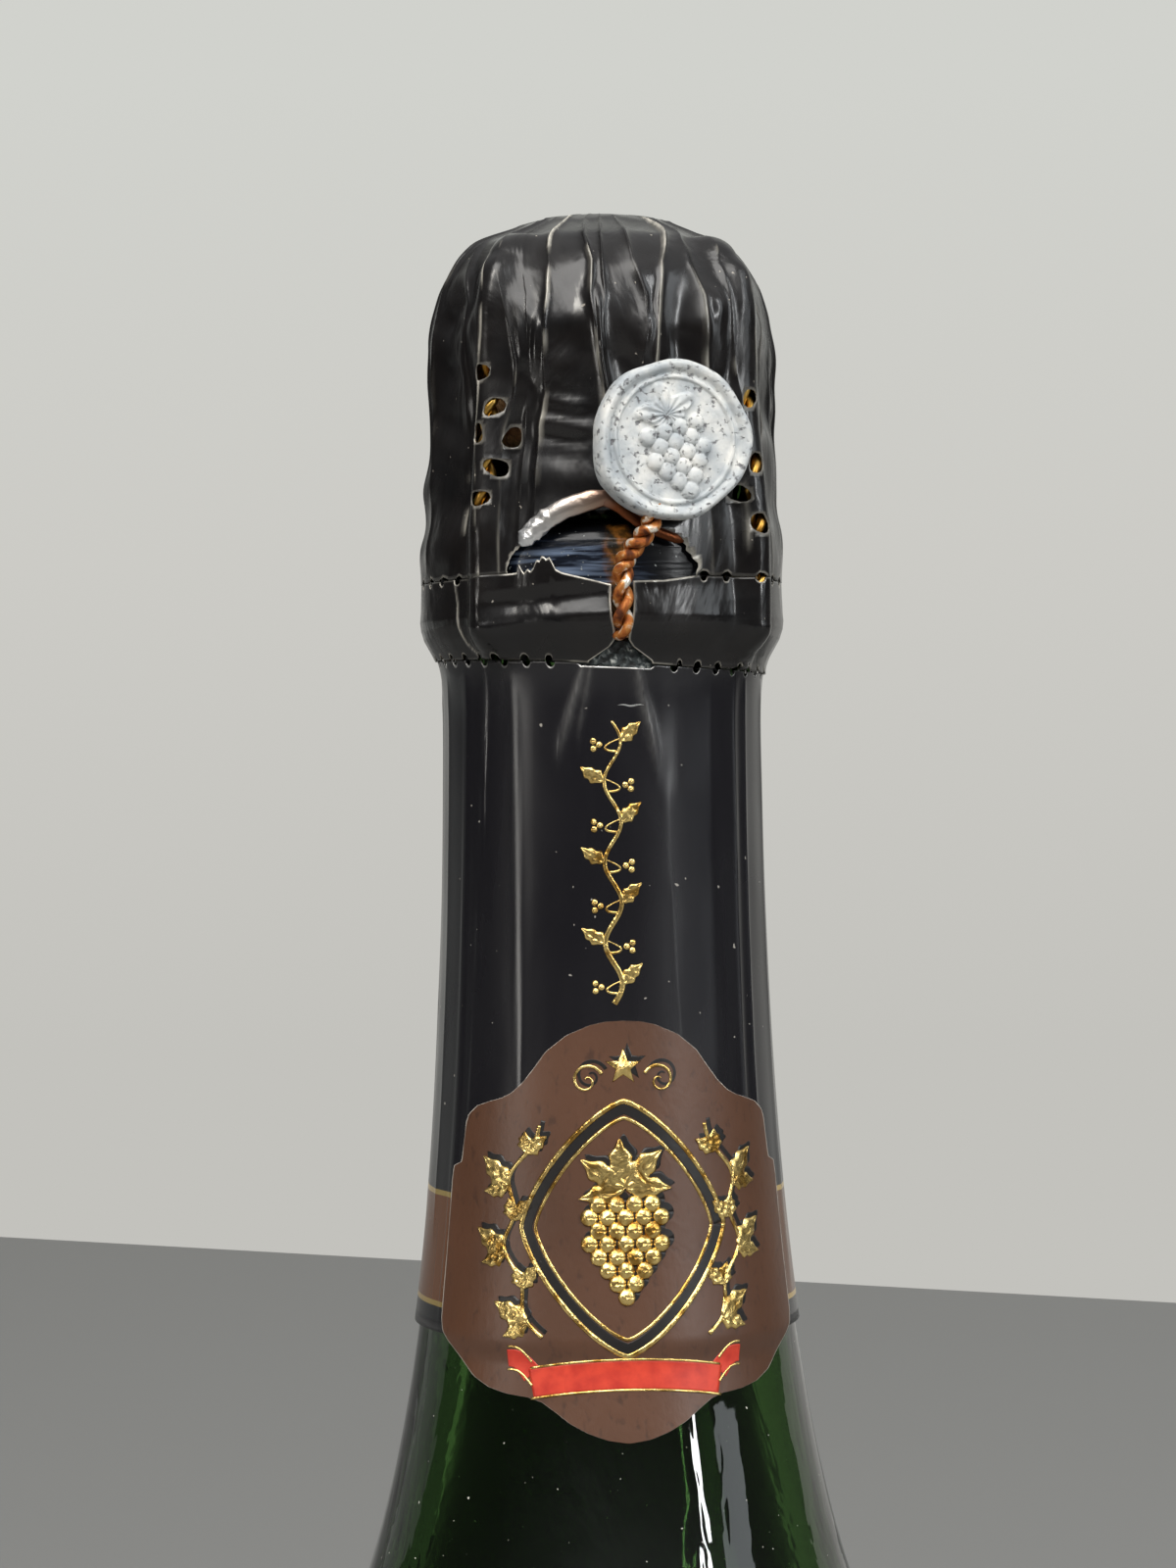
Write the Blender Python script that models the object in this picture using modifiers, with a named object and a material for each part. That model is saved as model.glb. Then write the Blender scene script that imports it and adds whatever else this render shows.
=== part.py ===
# A sealed 75 cl champagne bottle: glass, wine, cork, wire cage, foil and neck label.
# Metres, +Z up. The origin is the centre of the ring that the bottle stands on, and the
# front, with the seal on its twisted wire, faces -Y. Azimuths turn from -Y towards +X.

import math

import bmesh
import bpy
import numpy as np
from mathutils import Matrix, Vector

# Fits shared by all pieces
CLEARANCE = 0.0003
FOIL_GAP = 0.00025
FOIL_THICKNESS = 0.00025
CUT_OVERRUN = 0.004
TURNED_SIDES = 32
MERGE = 0.00001

# Glass body
BOTTLE_HEIGHT = 0.3000
BODY_RADIUS = 0.04425
BODY_TOP_Z = 0.1100
NECK_RADIUS = 0.0144
NECK_LENGTH = 0.0298
SHOULDER_RISE_SHARE = 0.577
NECK_FALL_SHARE = 0.752
NECK_FLARE = 0.0016
SHOULDER_POINTS = 13
BODY_WALL = 0.00445
NECK_INNER_RADIUS = 0.0094
FLOOR_THICKNESS = 0.0080
INNER_HEEL_RADIUS = 0.0080
HEEL_HEIGHT = 0.0100
BEARING_OUTER_RADIUS = 0.0362
BEARING_WIDTH = 0.0030
PUNT_DEPTH = 0.0320
PUNT_POINTS = 6
HEEL_POINTS = 4

# Glass finish, whose heights are measured down from the lip
BORE_RADIUS = 0.0089
BORE_DEPTH = 0.0260
BORE_FLARE_LENGTH = 0.0120
LIP_ROUNDING = 0.0008
CROWN_RADIUS = 0.0143
CROWN_HEIGHT = 0.0045
GROOVE_RADIUS = 0.0129
GROOVE_HEIGHT = 0.0022
COLLAR_RADIUS = 0.0162
COLLAR_HEIGHT = 0.0088
COLLAR_ROUNDING = 0.0005
UNDER_COLLAR_RADIUS = 0.0141
UNDER_COLLAR_HEIGHT = 0.0012

# Wine
FILL_DEPTH = 0.0780

# Cork
HEAD_RADIUS = 0.0148
HEAD_HEIGHT = 0.0179
HEAD_OUTLINE_SHARES = (
    (0.757, 1.000),
    (0.878, 0.952),
    (0.966, 0.835),
    (1.000, 0.680),
    (1.000, 0.365),
    (0.970, 0.190),
    (0.870, 0.068),
)
HEAD_SEAT_RADIUS = 0.0112
AGGLOMERATE_DEPTH = 0.0127
DISC_THICKNESS = 0.0055

# Cap plate under the wire cage, whose heights are measured up from the cork's top
PLATE_THICKNESS = 0.00035
PLATE_GAP = 0.00035
PLATE_RADIUS = 0.0124
PLATE_DOME_HEIGHT = 0.0039
PLATE_DOME_RADIUS = 0.0064
PLATE_SKIRT = 0.0008
GROOVE_WIDTH = 0.0020
GROOVE_LIP = 0.0002
DOME_EDGE_SHARE = 0.82
DOME_BREAK_SHARE = 0.9

# Wire cage
WIRE_RADIUS = 0.00045
STRAND_GAP = 0.00042
RING_RADIUS = 0.0106
LEG_AZIMUTHS_DEG = (53.0, 143.0, 233.0, 323.0)
LEG_TURNS = 3
POINTS_PER_TURN = 9
HEAD_SIDE_DROP_SHARE = 0.365
RING_CORNER_POINTS = 3
RING_POINTS = 7
LEG_STRAIGHT_SHARE = 0.10
FOOT_POINTS = 3

# Belt wire, under the glass collar, and the twisted tail that leaves it
BELT_DROP = 0.0009
TAIL_AZIMUTH_DEG = 6.0
HINGE_RISE = 0.0045
ROOT_GAP = 0.0009
BELT_POINTS = 40
ROOT_TURNS = 0.5
TAIL_TURNS = 1.0

# Lead seal
SEAL_RADIUS = 0.0072
SEAL_THICKNESS = 0.0028
SEAL_AZIMUTH_DEG = 19.0
SEAL_BACK_DISTANCE = 0.0175
SEAL_RISE = 0.0005
SEAL_ENTRY_OFFSET = 0.0018
SEAL_SLOT_DEPTH = 0.0038
SEAL_SIDES = 30
SEAL_RINGS_SHARES = (
    (0.90, -0.50),
    (0.99, -0.28),
    (1.00, 0.20),
    (0.95, 0.50),
    (0.87, 0.48),
    (0.80, 0.30),
    (0.40, 0.33),
)
SEAL_WAVES_SHARES = ((2, 0.022, 0.6), (3, 0.012, 2.1), (5, 0.016, 1.9), (9, 0.008, 0.3))

# Foil hood, whose rim is the upper perforation. Heights are measured from the lip.
HOOD_RIM_DEPTH = 0.0110
HOOD_TOP_HEIGHT = 0.0232
HOOD_OUTLINE = (
    ("collar", 0.00020, -0.0110),
    ("collar", 0.00025, -0.0090),
    ("collar", 0.00012, -0.0068),
    ("head", 0.00115, -0.0045),
    ("head", 0.00130, -0.0012),
    ("head", 0.00095, 0.0018),
    ("head", 0.00100, 0.0052),
    ("head", 0.00105, 0.0090),
    ("head", 0.00090, 0.0120),
    ("head", 0.00025, 0.0145),
    ("head", -0.00085, 0.0168),
    ("head", -0.00200, 0.0187),
    ("head", -0.00335, 0.0202),
    ("head", -0.00495, 0.0210),
    ("head", -0.00675, 0.0217),
    ("head", -0.00915, 0.0230),
    ("head", -0.01055, 0.0232),
)
HOOD_PLEAT_SHARES = (0, 0, 0.3, 1, 1, 1, 1, 1, 1, 1, 0.9, 0.6, 0.3, 0.3, 0.3, 0, 0)
PLEATS_PER_QUARTER = 5
PLEAT_DEPTH = 0.00038
RIDGE_SLOPE_DEG = 4.6
RIDGE_REACH = 0.0016

# Torn mouth in the hood's front
MOUTH_WIDTH = 0.0167
MOUTH_HEIGHT = 0.0072
MOUTH_OFFSET = 0.0
MOUTH_OUTLINE_SHARES = (
    (-0.50, -0.30),
    (-0.50, 0.10),
    (-0.45, 0.38),
    (-0.28, 0.74),
    (-0.08, 0.98),
    (0.08, 1.00),
    (0.30, 0.80),
    (0.44, 0.42),
    (0.50, 0.10),
    (0.50, -0.30),
)

# Vent holes in the hood, in staggered rows up each leg of the cage
VENT_RADIUS = 0.0009
VENT_SPACING = 0.0019
VENT_PITCH = 0.0057
VENT_RISE = 0.0013
VENT_SIDES = 8
VENT_SHARES = ((0.0, 1.0), (0.0, 0.0), (0.0, -1.0), (1.0, 0.45), (1.0, -0.55))

# Tear band between the two perforations
BAND_ROWS = (
    ("collar", 0.00018, -0.0113),
    ("collar", 0.00022, -0.0135),
    ("collar", 0.00008, -0.0156),
    ("neck", 0.00175, -0.0174),
    ("neck", 0.00125, -0.0188),
)
SLIT_HALF_WIDTHS = (0.00150, 0.00146, 0.00146, 0.00230, 0.00330)

# Neck sleeve
SLEEVE_TOP_DEPTH = 0.0191
SLEEVE_BOTTOM_DEPTH = 0.0795
SLEEVE_ROWS = 8

# Neck label
LABEL_AZIMUTH_DEG = 5.5
LABEL_GAP = 0.00025
LABEL_THICKNESS = 0.00020
LABEL_TOP_DEPTH = 0.0509
LABEL_HEIGHT = 0.0370
LABEL_HALF_ANGLE_DEG = 62.6
LABEL_COLUMNS = 12
LABEL_STEP_HEIGHT = 0.0030
LABEL_OUTLINE_SHARES = (
    (0.000, 0.110),
    (0.030, 0.290),
    (0.065, 0.400),
    (0.110, 0.500),
    (0.175, 0.640),
    (0.205, 0.770),
    (0.245, 0.845),
    (0.335, 0.900),
    (0.352, 0.995),
    (0.640, 1.000),
    (0.730, 0.975),
    (0.765, 0.920),
    (0.825, 0.825),
    (0.875, 0.670),
    (0.900, 0.480),
    (0.950, 0.345),
    (0.985, 0.215),
    (1.000, 0.090),
)

# Places worked out from the sizes above
LIP_Z = BOTTLE_HEIGHT
NECK_Z = LIP_Z - NECK_LENGTH
SLEEVE_BOTTOM_Z = LIP_Z - SLEEVE_BOTTOM_DEPTH
LABEL_TOP_Z = LIP_Z - LABEL_TOP_DEPTH
COLLAR_TOP_Z = LIP_Z - CROWN_HEIGHT - GROOVE_HEIGHT
COLLAR_BOTTOM_Z = COLLAR_TOP_Z - COLLAR_HEIGHT
STRAND_OFFSET = WIRE_RADIUS + STRAND_GAP / 2
PAIR_RADIUS = WIRE_RADIUS + STRAND_OFFSET
LEG_STANDOFF = CLEARANCE + PAIR_RADIUS
CORK_TOP_Z = LIP_Z + HEAD_HEIGHT
GROOVE_Z = CORK_TOP_Z + PLATE_GAP + PLATE_THICKNESS
RING_Z = GROOVE_Z + CLEARANCE + WIRE_RADIUS
BELT_RADIUS = UNDER_COLLAR_RADIUS + WIRE_RADIUS * 2
BELT_Z = COLLAR_BOTTOM_Z - BELT_DROP
COLLAR_SIDE = COLLAR_RADIUS + LEG_STANDOFF
HEAD_SIDE = HEAD_RADIUS + LEG_STANDOFF
HINGE_Z = COLLAR_BOTTOM_Z + HINGE_RISE


def outward(azimuth_deg):
    """Horizontal unit vector that points away from the axis at an azimuth."""
    angle = math.radians(azimuth_deg)
    return Vector((math.sin(angle), -math.cos(angle), 0))


def sideways(azimuth_deg):
    """Horizontal unit vector along the tangent, towards a greater azimuth."""
    angle = math.radians(azimuth_deg)
    return Vector((math.cos(angle), math.sin(angle), 0))


def finish(name, colour, roughness, metallic=0.0, transmission=0.0):
    """Principled material with one colour, roughness and metallic value."""
    material = bpy.data.materials.new(name)
    material.use_nodes = True
    shader = material.node_tree.nodes["Principled BSDF"]
    shader.inputs["Base Color"].default_value = (*colour, 1)
    shader.inputs["Roughness"].default_value = roughness
    shader.inputs["Metallic"].default_value = metallic
    shader.inputs["Transmission Weight"].default_value = transmission
    return material


def clear_scene():
    """Removes what the file held before."""
    for thing in list(bpy.data.objects):
        bpy.data.objects.remove(thing, do_unlink=True)


def new_collection(name):
    """Collection linked to the scene."""
    collection = bpy.data.collections.new(name)
    bpy.context.scene.collection.children.link(collection)
    return collection


def new_object(name, data, material, collection):
    """Object in a collection, smooth where its faces turn gently."""
    thing = bpy.data.objects.new(name, data)
    collection.objects.link(thing)
    if material is not None:
        data.materials.append(material)
    return thing


def mesh_of(name, points, faces, edges=()):
    """Mesh from points, edges and faces."""
    mesh = bpy.data.meshes.new(name)
    mesh.from_pydata([tuple(p) for p in points], list(edges), list(faces))
    mesh.validate()
    mesh.update()
    return mesh


def turned(name, profile, material, collection):
    """Solid of revolution: a profile of (radius, height) that starts and ends on the axis."""
    points = [(radius, 0, height) for radius, height in profile]
    edges = [(i, i + 1) for i in range(len(points) - 1)]
    thing = new_object(name, mesh_of(name, points, (), edges), material, collection)
    screw = thing.modifiers.new("turn", "SCREW")
    screw.steps = TURNED_SIDES
    screw.render_steps = TURNED_SIDES
    screw.use_merge_vertices = True
    screw.merge_threshold = MERGE
    screw.use_smooth_shade = True
    return thing


def wall(thing, thickness):
    """Gives an open surface a wall on its inner side."""
    solid = thing.modifiers.new("wall", "SOLIDIFY")
    solid.thickness = thickness
    solid.offset = -1
    solid.use_even_offset = False
    return thing


def grid_faces(rows, columns, closed):
    """Quads of a grid of points, row after row, that face outwards on rising rows."""
    faces = []
    for row in range(rows - 1):
        for column in range(columns if closed else columns - 1):
            following = (column + 1) % columns
            low = row * columns
            high = low + columns
            faces.append((low + column, low + following, high + following, high + column))
    return faces


def wire(name, points, radius, material, collection):
    """Round wire along a line of points, with filled ends."""
    curve = bpy.data.curves.new(name, "CURVE")
    curve.dimensions = "3D"
    curve.bevel_depth = radius
    curve.bevel_resolution = 1
    curve.use_fill_caps = True
    spline = curve.splines.new("POLY")
    spline.points.add(len(points) - 1)
    for slot, point in zip(spline.points, points):
        slot.co = (*point, 1)
    return new_object(name, curve, material, collection)


def carry(empty_name, place, pieces, parent, collection):
    """Hangs pieces on an empty that stands on their joint's axis."""
    empty = bpy.data.objects.new(empty_name, None)
    collection.objects.link(empty)
    empty.location = place
    bpy.context.view_layer.update()
    hang(empty, parent)
    for piece in pieces:
        hang(piece, empty)
    return empty


def hang(piece, parent):
    """Parents a piece without moving it."""
    if parent is None:
        return
    bpy.context.view_layer.update()
    piece.parent = parent
    piece.matrix_parent_inverse = parent.matrix_world.inverted()


def quarter_ellipse(centre, half_sizes, start_deg, end_deg, count):
    """Points along a quarter of an ellipse in the plane of radius and height."""
    angles = np.radians(np.linspace(start_deg, end_deg, count))
    radius = centre[0] + half_sizes[0] * np.cos(angles)
    height = centre[1] + half_sizes[1] * np.sin(angles)
    return list(zip(radius.tolist(), height.tolist()))


# Glass outline

def shoulder_line(count):
    """Radius and height down the neck and shoulder, as one cubic curve."""
    length = NECK_Z - BODY_TOP_Z
    top = np.array((NECK_RADIUS, NECK_Z))
    upper = np.array((NECK_RADIUS + NECK_FLARE, NECK_Z - length * NECK_FALL_SHARE))
    lower = np.array((BODY_RADIUS, BODY_TOP_Z + length * SHOULDER_RISE_SHARE))
    bottom = np.array((BODY_RADIUS, BODY_TOP_Z))
    t = np.linspace(0, 1, count)[:, None]
    line = (1 - t) ** 3 * top + 3 * (1 - t) ** 2 * t * upper
    return line + 3 * (1 - t) * t**2 * lower + t**3 * bottom


def glass_radius(height):
    """Outer radius of the neck and shoulder at a height."""
    line = shoulder_line(SHOULDER_POINTS)[::-1]
    heights = np.append(line[:, 1], COLLAR_BOTTOM_Z - UNDER_COLLAR_HEIGHT)
    radii = np.append(line[:, 0], UNDER_COLLAR_RADIUS)
    return float(np.interp(height, heights, radii))


def cavity_line(inset):
    """Radius and height up the inside of the glass, from the floor to the bore."""
    corner = BODY_RADIUS - BODY_WALL - INNER_HEEL_RADIUS
    line = []
    for share in np.linspace(0, 1, PUNT_POINTS):
        rise = PUNT_DEPTH * math.cos(math.pi / 2 * share)
        line.append((corner * share, FLOOR_THICKNESS + inset + rise))
    centre = (corner, FLOOR_THICKNESS + INNER_HEEL_RADIUS)
    heel = INNER_HEEL_RADIUS - inset
    line += quarter_ellipse(centre, (heel, heel), -90, 0, HEEL_POINTS)[1:]
    neck_wall = NECK_RADIUS - NECK_INNER_RADIUS
    for radius, height in shoulder_line(SHOULDER_POINTS)[::-1]:
        share = (height - BODY_TOP_Z) / (NECK_Z - BODY_TOP_Z)
        thickness = BODY_WALL + (neck_wall - BODY_WALL) * share
        if height < LIP_Z - BORE_DEPTH - BORE_FLARE_LENGTH:
            line.append((float(radius) - thickness - inset, float(height)))
    line.append((NECK_INNER_RADIUS - inset, LIP_Z - BORE_DEPTH - BORE_FLARE_LENGTH))
    line.append((BORE_RADIUS - inset, LIP_Z - BORE_DEPTH))
    return line


def finish_line():
    """Radius and height over the lip, crown and collar, down to the neck."""
    groove_top = LIP_Z - CROWN_HEIGHT
    return [
        (BORE_RADIUS, LIP_Z - LIP_ROUNDING),
        (BORE_RADIUS + LIP_ROUNDING, LIP_Z),
        (CROWN_RADIUS - LIP_ROUNDING, LIP_Z),
        (CROWN_RADIUS, LIP_Z - LIP_ROUNDING),
        (CROWN_RADIUS, groove_top),
        (GROOVE_RADIUS, groove_top - COLLAR_ROUNDING),
        (GROOVE_RADIUS, COLLAR_TOP_Z + COLLAR_ROUNDING),
        (COLLAR_RADIUS - COLLAR_ROUNDING, COLLAR_TOP_Z),
        (COLLAR_RADIUS, COLLAR_TOP_Z - COLLAR_ROUNDING),
        (COLLAR_RADIUS, COLLAR_BOTTOM_Z + COLLAR_ROUNDING),
        (COLLAR_RADIUS - COLLAR_ROUNDING, COLLAR_BOTTOM_Z),
        (UNDER_COLLAR_RADIUS, COLLAR_BOTTOM_Z),
        (UNDER_COLLAR_RADIUS, COLLAR_BOTTOM_Z - UNDER_COLLAR_HEIGHT),
    ]


def base_line():
    """Radius and height round the heel, over the bearing ring and up the punt."""
    heel_width = BODY_RADIUS - BEARING_OUTER_RADIUS
    centre = (BEARING_OUTER_RADIUS, HEEL_HEIGHT)
    line = quarter_ellipse(centre, (heel_width, HEEL_HEIGHT), 0, -90, HEEL_POINTS)
    punt_radius = BEARING_OUTER_RADIUS - BEARING_WIDTH
    for share in np.linspace(1, 0, PUNT_POINTS):
        rise = PUNT_DEPTH * math.cos(math.pi / 2 * share)
        line.append((punt_radius * share, rise))
    return line


def make_glass(material, collection):
    """The bottle, open at the mouth, with its punt."""
    outside = [(float(radius), float(height)) for radius, height in shoulder_line(SHOULDER_POINTS)]
    profile = cavity_line(0) + finish_line() + outside + base_line()
    return turned("glass_bottle", profile, material, collection)


def make_wine(material, collection):
    """The wine, up to its level in the neck."""
    level = LIP_Z - FILL_DEPTH
    line = cavity_line(CLEARANCE)
    below = [point for point in line if point[1] < level]
    radii = [point[0] for point in line[PUNT_POINTS:]]
    heights = [point[1] for point in line[PUNT_POINTS:]]
    surface = float(np.interp(level, heights, radii))
    profile = [(0, level), (surface, level)] + below[::-1]
    return turned("wine", profile, material, collection)


# Cork

def make_cork(agglomerate_finish, disc_finish, collection):
    """The mushroom head and its shank, and the two discs of natural cork under it."""
    shank = BORE_RADIUS - CLEARANCE
    seat = LIP_Z + CLEARANCE
    profile = [(0, CORK_TOP_Z)]
    for radius_share, height_share in HEAD_OUTLINE_SHARES:
        profile.append((HEAD_RADIUS * radius_share, LIP_Z + HEAD_HEIGHT * height_share))
    profile += [(HEAD_SEAT_RADIUS, seat), (shank, seat)]
    bottom = LIP_Z - AGGLOMERATE_DEPTH
    profile += [(shank, bottom), (0, bottom)]
    pieces = [turned("cork_agglomerate", profile, agglomerate_finish, collection)]
    for name in ("cork_disc_upper", "cork_disc_lower"):
        top = bottom - CLEARANCE
        bottom = top - DISC_THICKNESS
        disc = [(0, top), (shank, top), (shank, bottom), (0, bottom)]
        pieces.append(turned(name, disc, disc_finish, collection))
    return pieces


# Cap plate

def make_plate(material, collection):
    """Pressed metal plate with a raised middle, a groove for the wire ring and a skirt."""
    groove_inner = RING_RADIUS - GROOVE_WIDTH / 2
    groove_outer = RING_RADIUS + GROOVE_WIDTH / 2
    dome_z = GROOVE_Z + PLATE_DOME_HEIGHT
    top = [
        (0, dome_z),
        (PLATE_DOME_RADIUS * DOME_EDGE_SHARE, dome_z),
        (PLATE_DOME_RADIUS, GROOVE_Z + PLATE_DOME_HEIGHT * DOME_BREAK_SHARE),
        (groove_inner, GROOVE_Z),
        (groove_outer, GROOVE_Z),
        (PLATE_RADIUS - PLATE_THICKNESS, GROOVE_Z + GROOVE_LIP),
        (PLATE_RADIUS, GROOVE_Z),
        (PLATE_RADIUS, GROOVE_Z - PLATE_SKIRT),
    ]
    under = [(PLATE_RADIUS - PLATE_THICKNESS, GROOVE_Z - PLATE_SKIRT)]
    under += [(PLATE_RADIUS - PLATE_THICKNESS, GROOVE_Z - PLATE_THICKNESS)]
    under += [(radius, height - PLATE_THICKNESS) for radius, height in top[4::-1]]
    return turned("cap_plate", top + under, material, collection)


# Wire cage

def leg_line():
    """Radius and height of a leg's centre, from the wire ring to its foot."""
    start = PLATE_RADIUS + WIRE_RADIUS
    shoulder_z = LIP_Z + HEAD_HEIGHT * HEAD_OUTLINE_SHARES[3][1]
    line = [(RING_RADIUS + PAIR_RADIUS, RING_Z)]
    size = (HEAD_SIDE - start, RING_Z - shoulder_z)
    line += quarter_ellipse((start, shoulder_z), size, 90, 0, 6)
    line.append((HEAD_SIDE, LIP_Z + HEAD_HEIGHT * HEAD_SIDE_DROP_SHARE))
    line.append((COLLAR_SIDE, COLLAR_TOP_Z))
    line.append((COLLAR_SIDE, BELT_Z))
    foot = (COLLAR_SIDE - BELT_RADIUS, 2 * WIRE_RADIUS + CLEARANCE)
    line += quarter_ellipse((BELT_RADIUS, BELT_Z), foot, 0, -90, FOOT_POINTS + 1)[1:]
    return np.array(line)


def along(line, count):
    """A line of points resampled at even steps, with the length run at each."""
    steps = np.linalg.norm(np.diff(line, axis=0), axis=1)
    run = np.append(0, np.cumsum(steps))
    even = np.linspace(0, run[-1], count)
    places = [np.interp(even, run, line[:, axis]) for axis in range(line.shape[1])]
    return np.stack(places, axis=1), even


def leg_strand(azimuth_deg, side):
    """One of a leg's two strands, from the ring to the foot: they twist round each other."""
    samples = LEG_TURNS * POINTS_PER_TURN + FOOT_POINTS + RING_CORNER_POINTS
    places, run = along(leg_line(), samples)
    slopes = np.gradient(places, axis=0)
    slopes /= np.linalg.norm(slopes, axis=1)[:, None]
    twist = (run / run[-1] - LEG_STRAIGHT_SHARE) / (1 - 2.6 * LEG_STRAIGHT_SHARE)
    phases = 2 * math.pi * LEG_TURNS * np.clip(twist, 0, 1)
    points = []
    for place, slope, phase in zip(places, slopes, phases):
        across = side * STRAND_OFFSET * math.cos(phase)
        lift = side * STRAND_OFFSET * math.sin(phase)
        radius = place[0] - slope[1] * lift
        height = place[1] + slope[0] * lift
        point = outward(azimuth_deg) * radius + sideways(azimuth_deg) * across
        points.append(point + Vector((0, 0, height)))
    return points


def cage_wire_line(leg):
    """A cage wire: up one leg, round a quarter of the top ring and down the next leg."""
    first = LEG_AZIMUTHS_DEG[leg]
    second = first + 90
    rising = leg_strand(first, 1)[::-1]
    falling = leg_strand(second, -1)
    turn_deg = math.degrees((STRAND_OFFSET + WIRE_RADIUS) / RING_RADIUS)
    ring = []
    for azimuth in np.linspace(first + 2 * turn_deg, second - 2 * turn_deg, RING_POINTS):
        ring.append(outward(azimuth) * RING_RADIUS + Vector((0, 0, RING_Z)))
    bend = STRAND_OFFSET + WIRE_RADIUS
    corner_in = outward(first) * (RING_RADIUS + STRAND_OFFSET / 2) + sideways(first) * bend
    corner_out = outward(second) * (RING_RADIUS + STRAND_OFFSET / 2) - sideways(second) * bend
    level = Vector((0, 0, RING_Z))
    return rising + [corner_in + level] + ring + [corner_out + level] + falling


def make_cage(material, collection):
    """Four wires, twisted in pairs into four legs, that share the top ring."""
    wires = []
    for leg in range(len(LEG_AZIMUTHS_DEG)):
        line = cage_wire_line(leg)
        wires.append(wire(f"cage_wire_{leg + 1}", line, WIRE_RADIUS, material, collection))
    return wires


# Belt wire and the twisted tail

def twisted(places, frame_side, side, start_turns, end_turns):
    """One strand of a twisted pair that follows places in space."""
    tangents = np.gradient(places, axis=0)
    tangents /= np.linalg.norm(tangents, axis=1)[:, None]
    turns = np.linspace(start_turns, end_turns, len(places))
    points = []
    for place, tangent, turn in zip(places, tangents, turns):
        across = Vector(frame_side) - Vector(tangent) * Vector(tangent).dot(frame_side)
        across.normalize()
        lift = Vector(tangent).cross(across)
        phase = 2 * math.pi * turn
        offset = across * math.cos(phase) + lift * math.sin(phase)
        points.append(Vector(place) + offset * side * STRAND_OFFSET)
    return points


def root_places():
    """Centre of the tail's fixed root, from under the collar up to below the hinge."""
    bend = COLLAR_SIDE - BELT_RADIUS - PAIR_RADIUS
    centre = (COLLAR_SIDE - bend, BELT_Z + bend)
    line = quarter_ellipse(centre, (bend, bend), -90, 0, 5)
    line.append((COLLAR_SIDE, HINGE_Z - ROOT_GAP))
    flat, _ = along(np.array(line), 9)
    out = outward(TAIL_AZIMUTH_DEG)
    return np.array([tuple(out * radius + Vector((0, 0, height))) for radius, height in flat])


def make_belt(material, collection):
    """The belt wire: once round the neck, its two ends twisted into the tail's root."""
    places = root_places()
    side = sideways(TAIL_AZIMUTH_DEG)
    right = twisted(places, side, 1, 0, ROOT_TURNS)
    left = twisted(places, side, -1, 0, ROOT_TURNS)
    turn_deg = math.degrees((STRAND_OFFSET + 2 * WIRE_RADIUS) / BELT_RADIUS)
    azimuths = np.linspace(TAIL_AZIMUTH_DEG + turn_deg, TAIL_AZIMUTH_DEG + 360 - turn_deg, BELT_POINTS)
    belt = [outward(azimuth) * BELT_RADIUS + Vector((0, 0, BELT_Z)) for azimuth in azimuths]
    line = right[::-1] + belt + left
    return wire("belt_wire", line, WIRE_RADIUS, material, collection)


def hinge_place():
    """The point where the tail bends when the seal is lifted."""
    return outward(TAIL_AZIMUTH_DEG) * COLLAR_SIDE + Vector((0, 0, HINGE_Z))


def seal_centre():
    """Middle of the seal's thickness."""
    distance = SEAL_BACK_DISTANCE + SEAL_THICKNESS / 2
    return outward(SEAL_AZIMUTH_DEG) * distance + Vector((0, 0, LIP_Z + SEAL_RISE))


def seal_entry():
    """Where the tail goes into the seal's lower edge, and the way that it goes."""
    drop = math.sqrt(SEAL_RADIUS**2 - SEAL_ENTRY_OFFSET**2)
    entry = seal_centre() - sideways(SEAL_AZIMUTH_DEG) * SEAL_ENTRY_OFFSET
    entry -= Vector((0, 0, drop))
    return entry, (seal_centre() - entry).normalized()


def make_tail(material, collection):
    """The tail's two free strands, from the hinge into the seal."""
    entry, way = seal_entry()
    start = hinge_place()
    end = entry + way * (SEAL_SLOT_DEPTH - CLEARANCE)
    rise = Vector((0, 0, (entry - start).length / 3))
    bends = [start, start + rise, entry - way * rise.length, entry]
    t = np.linspace(0, 1, 10)[:, None]
    corners = [np.array(tuple(corner)) for corner in bends]
    curve = (1 - t) ** 3 * corners[0] + 3 * (1 - t) ** 2 * t * corners[1]
    curve = curve + 3 * (1 - t) * t**2 * corners[2] + t**3 * corners[3]
    side = sideways(SEAL_AZIMUTH_DEG)
    strands = []
    for name, sign in (("seal_tail_right", 1), ("seal_tail_left", -1)):
        points = twisted(curve, side, sign, 0, TAIL_TURNS)
        across = (points[-1] - entry).normalized() * STRAND_OFFSET
        points.append(end + across)
        strands.append(wire(name, points, WIRE_RADIUS, material, collection))
    return strands


# Lead seal

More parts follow.
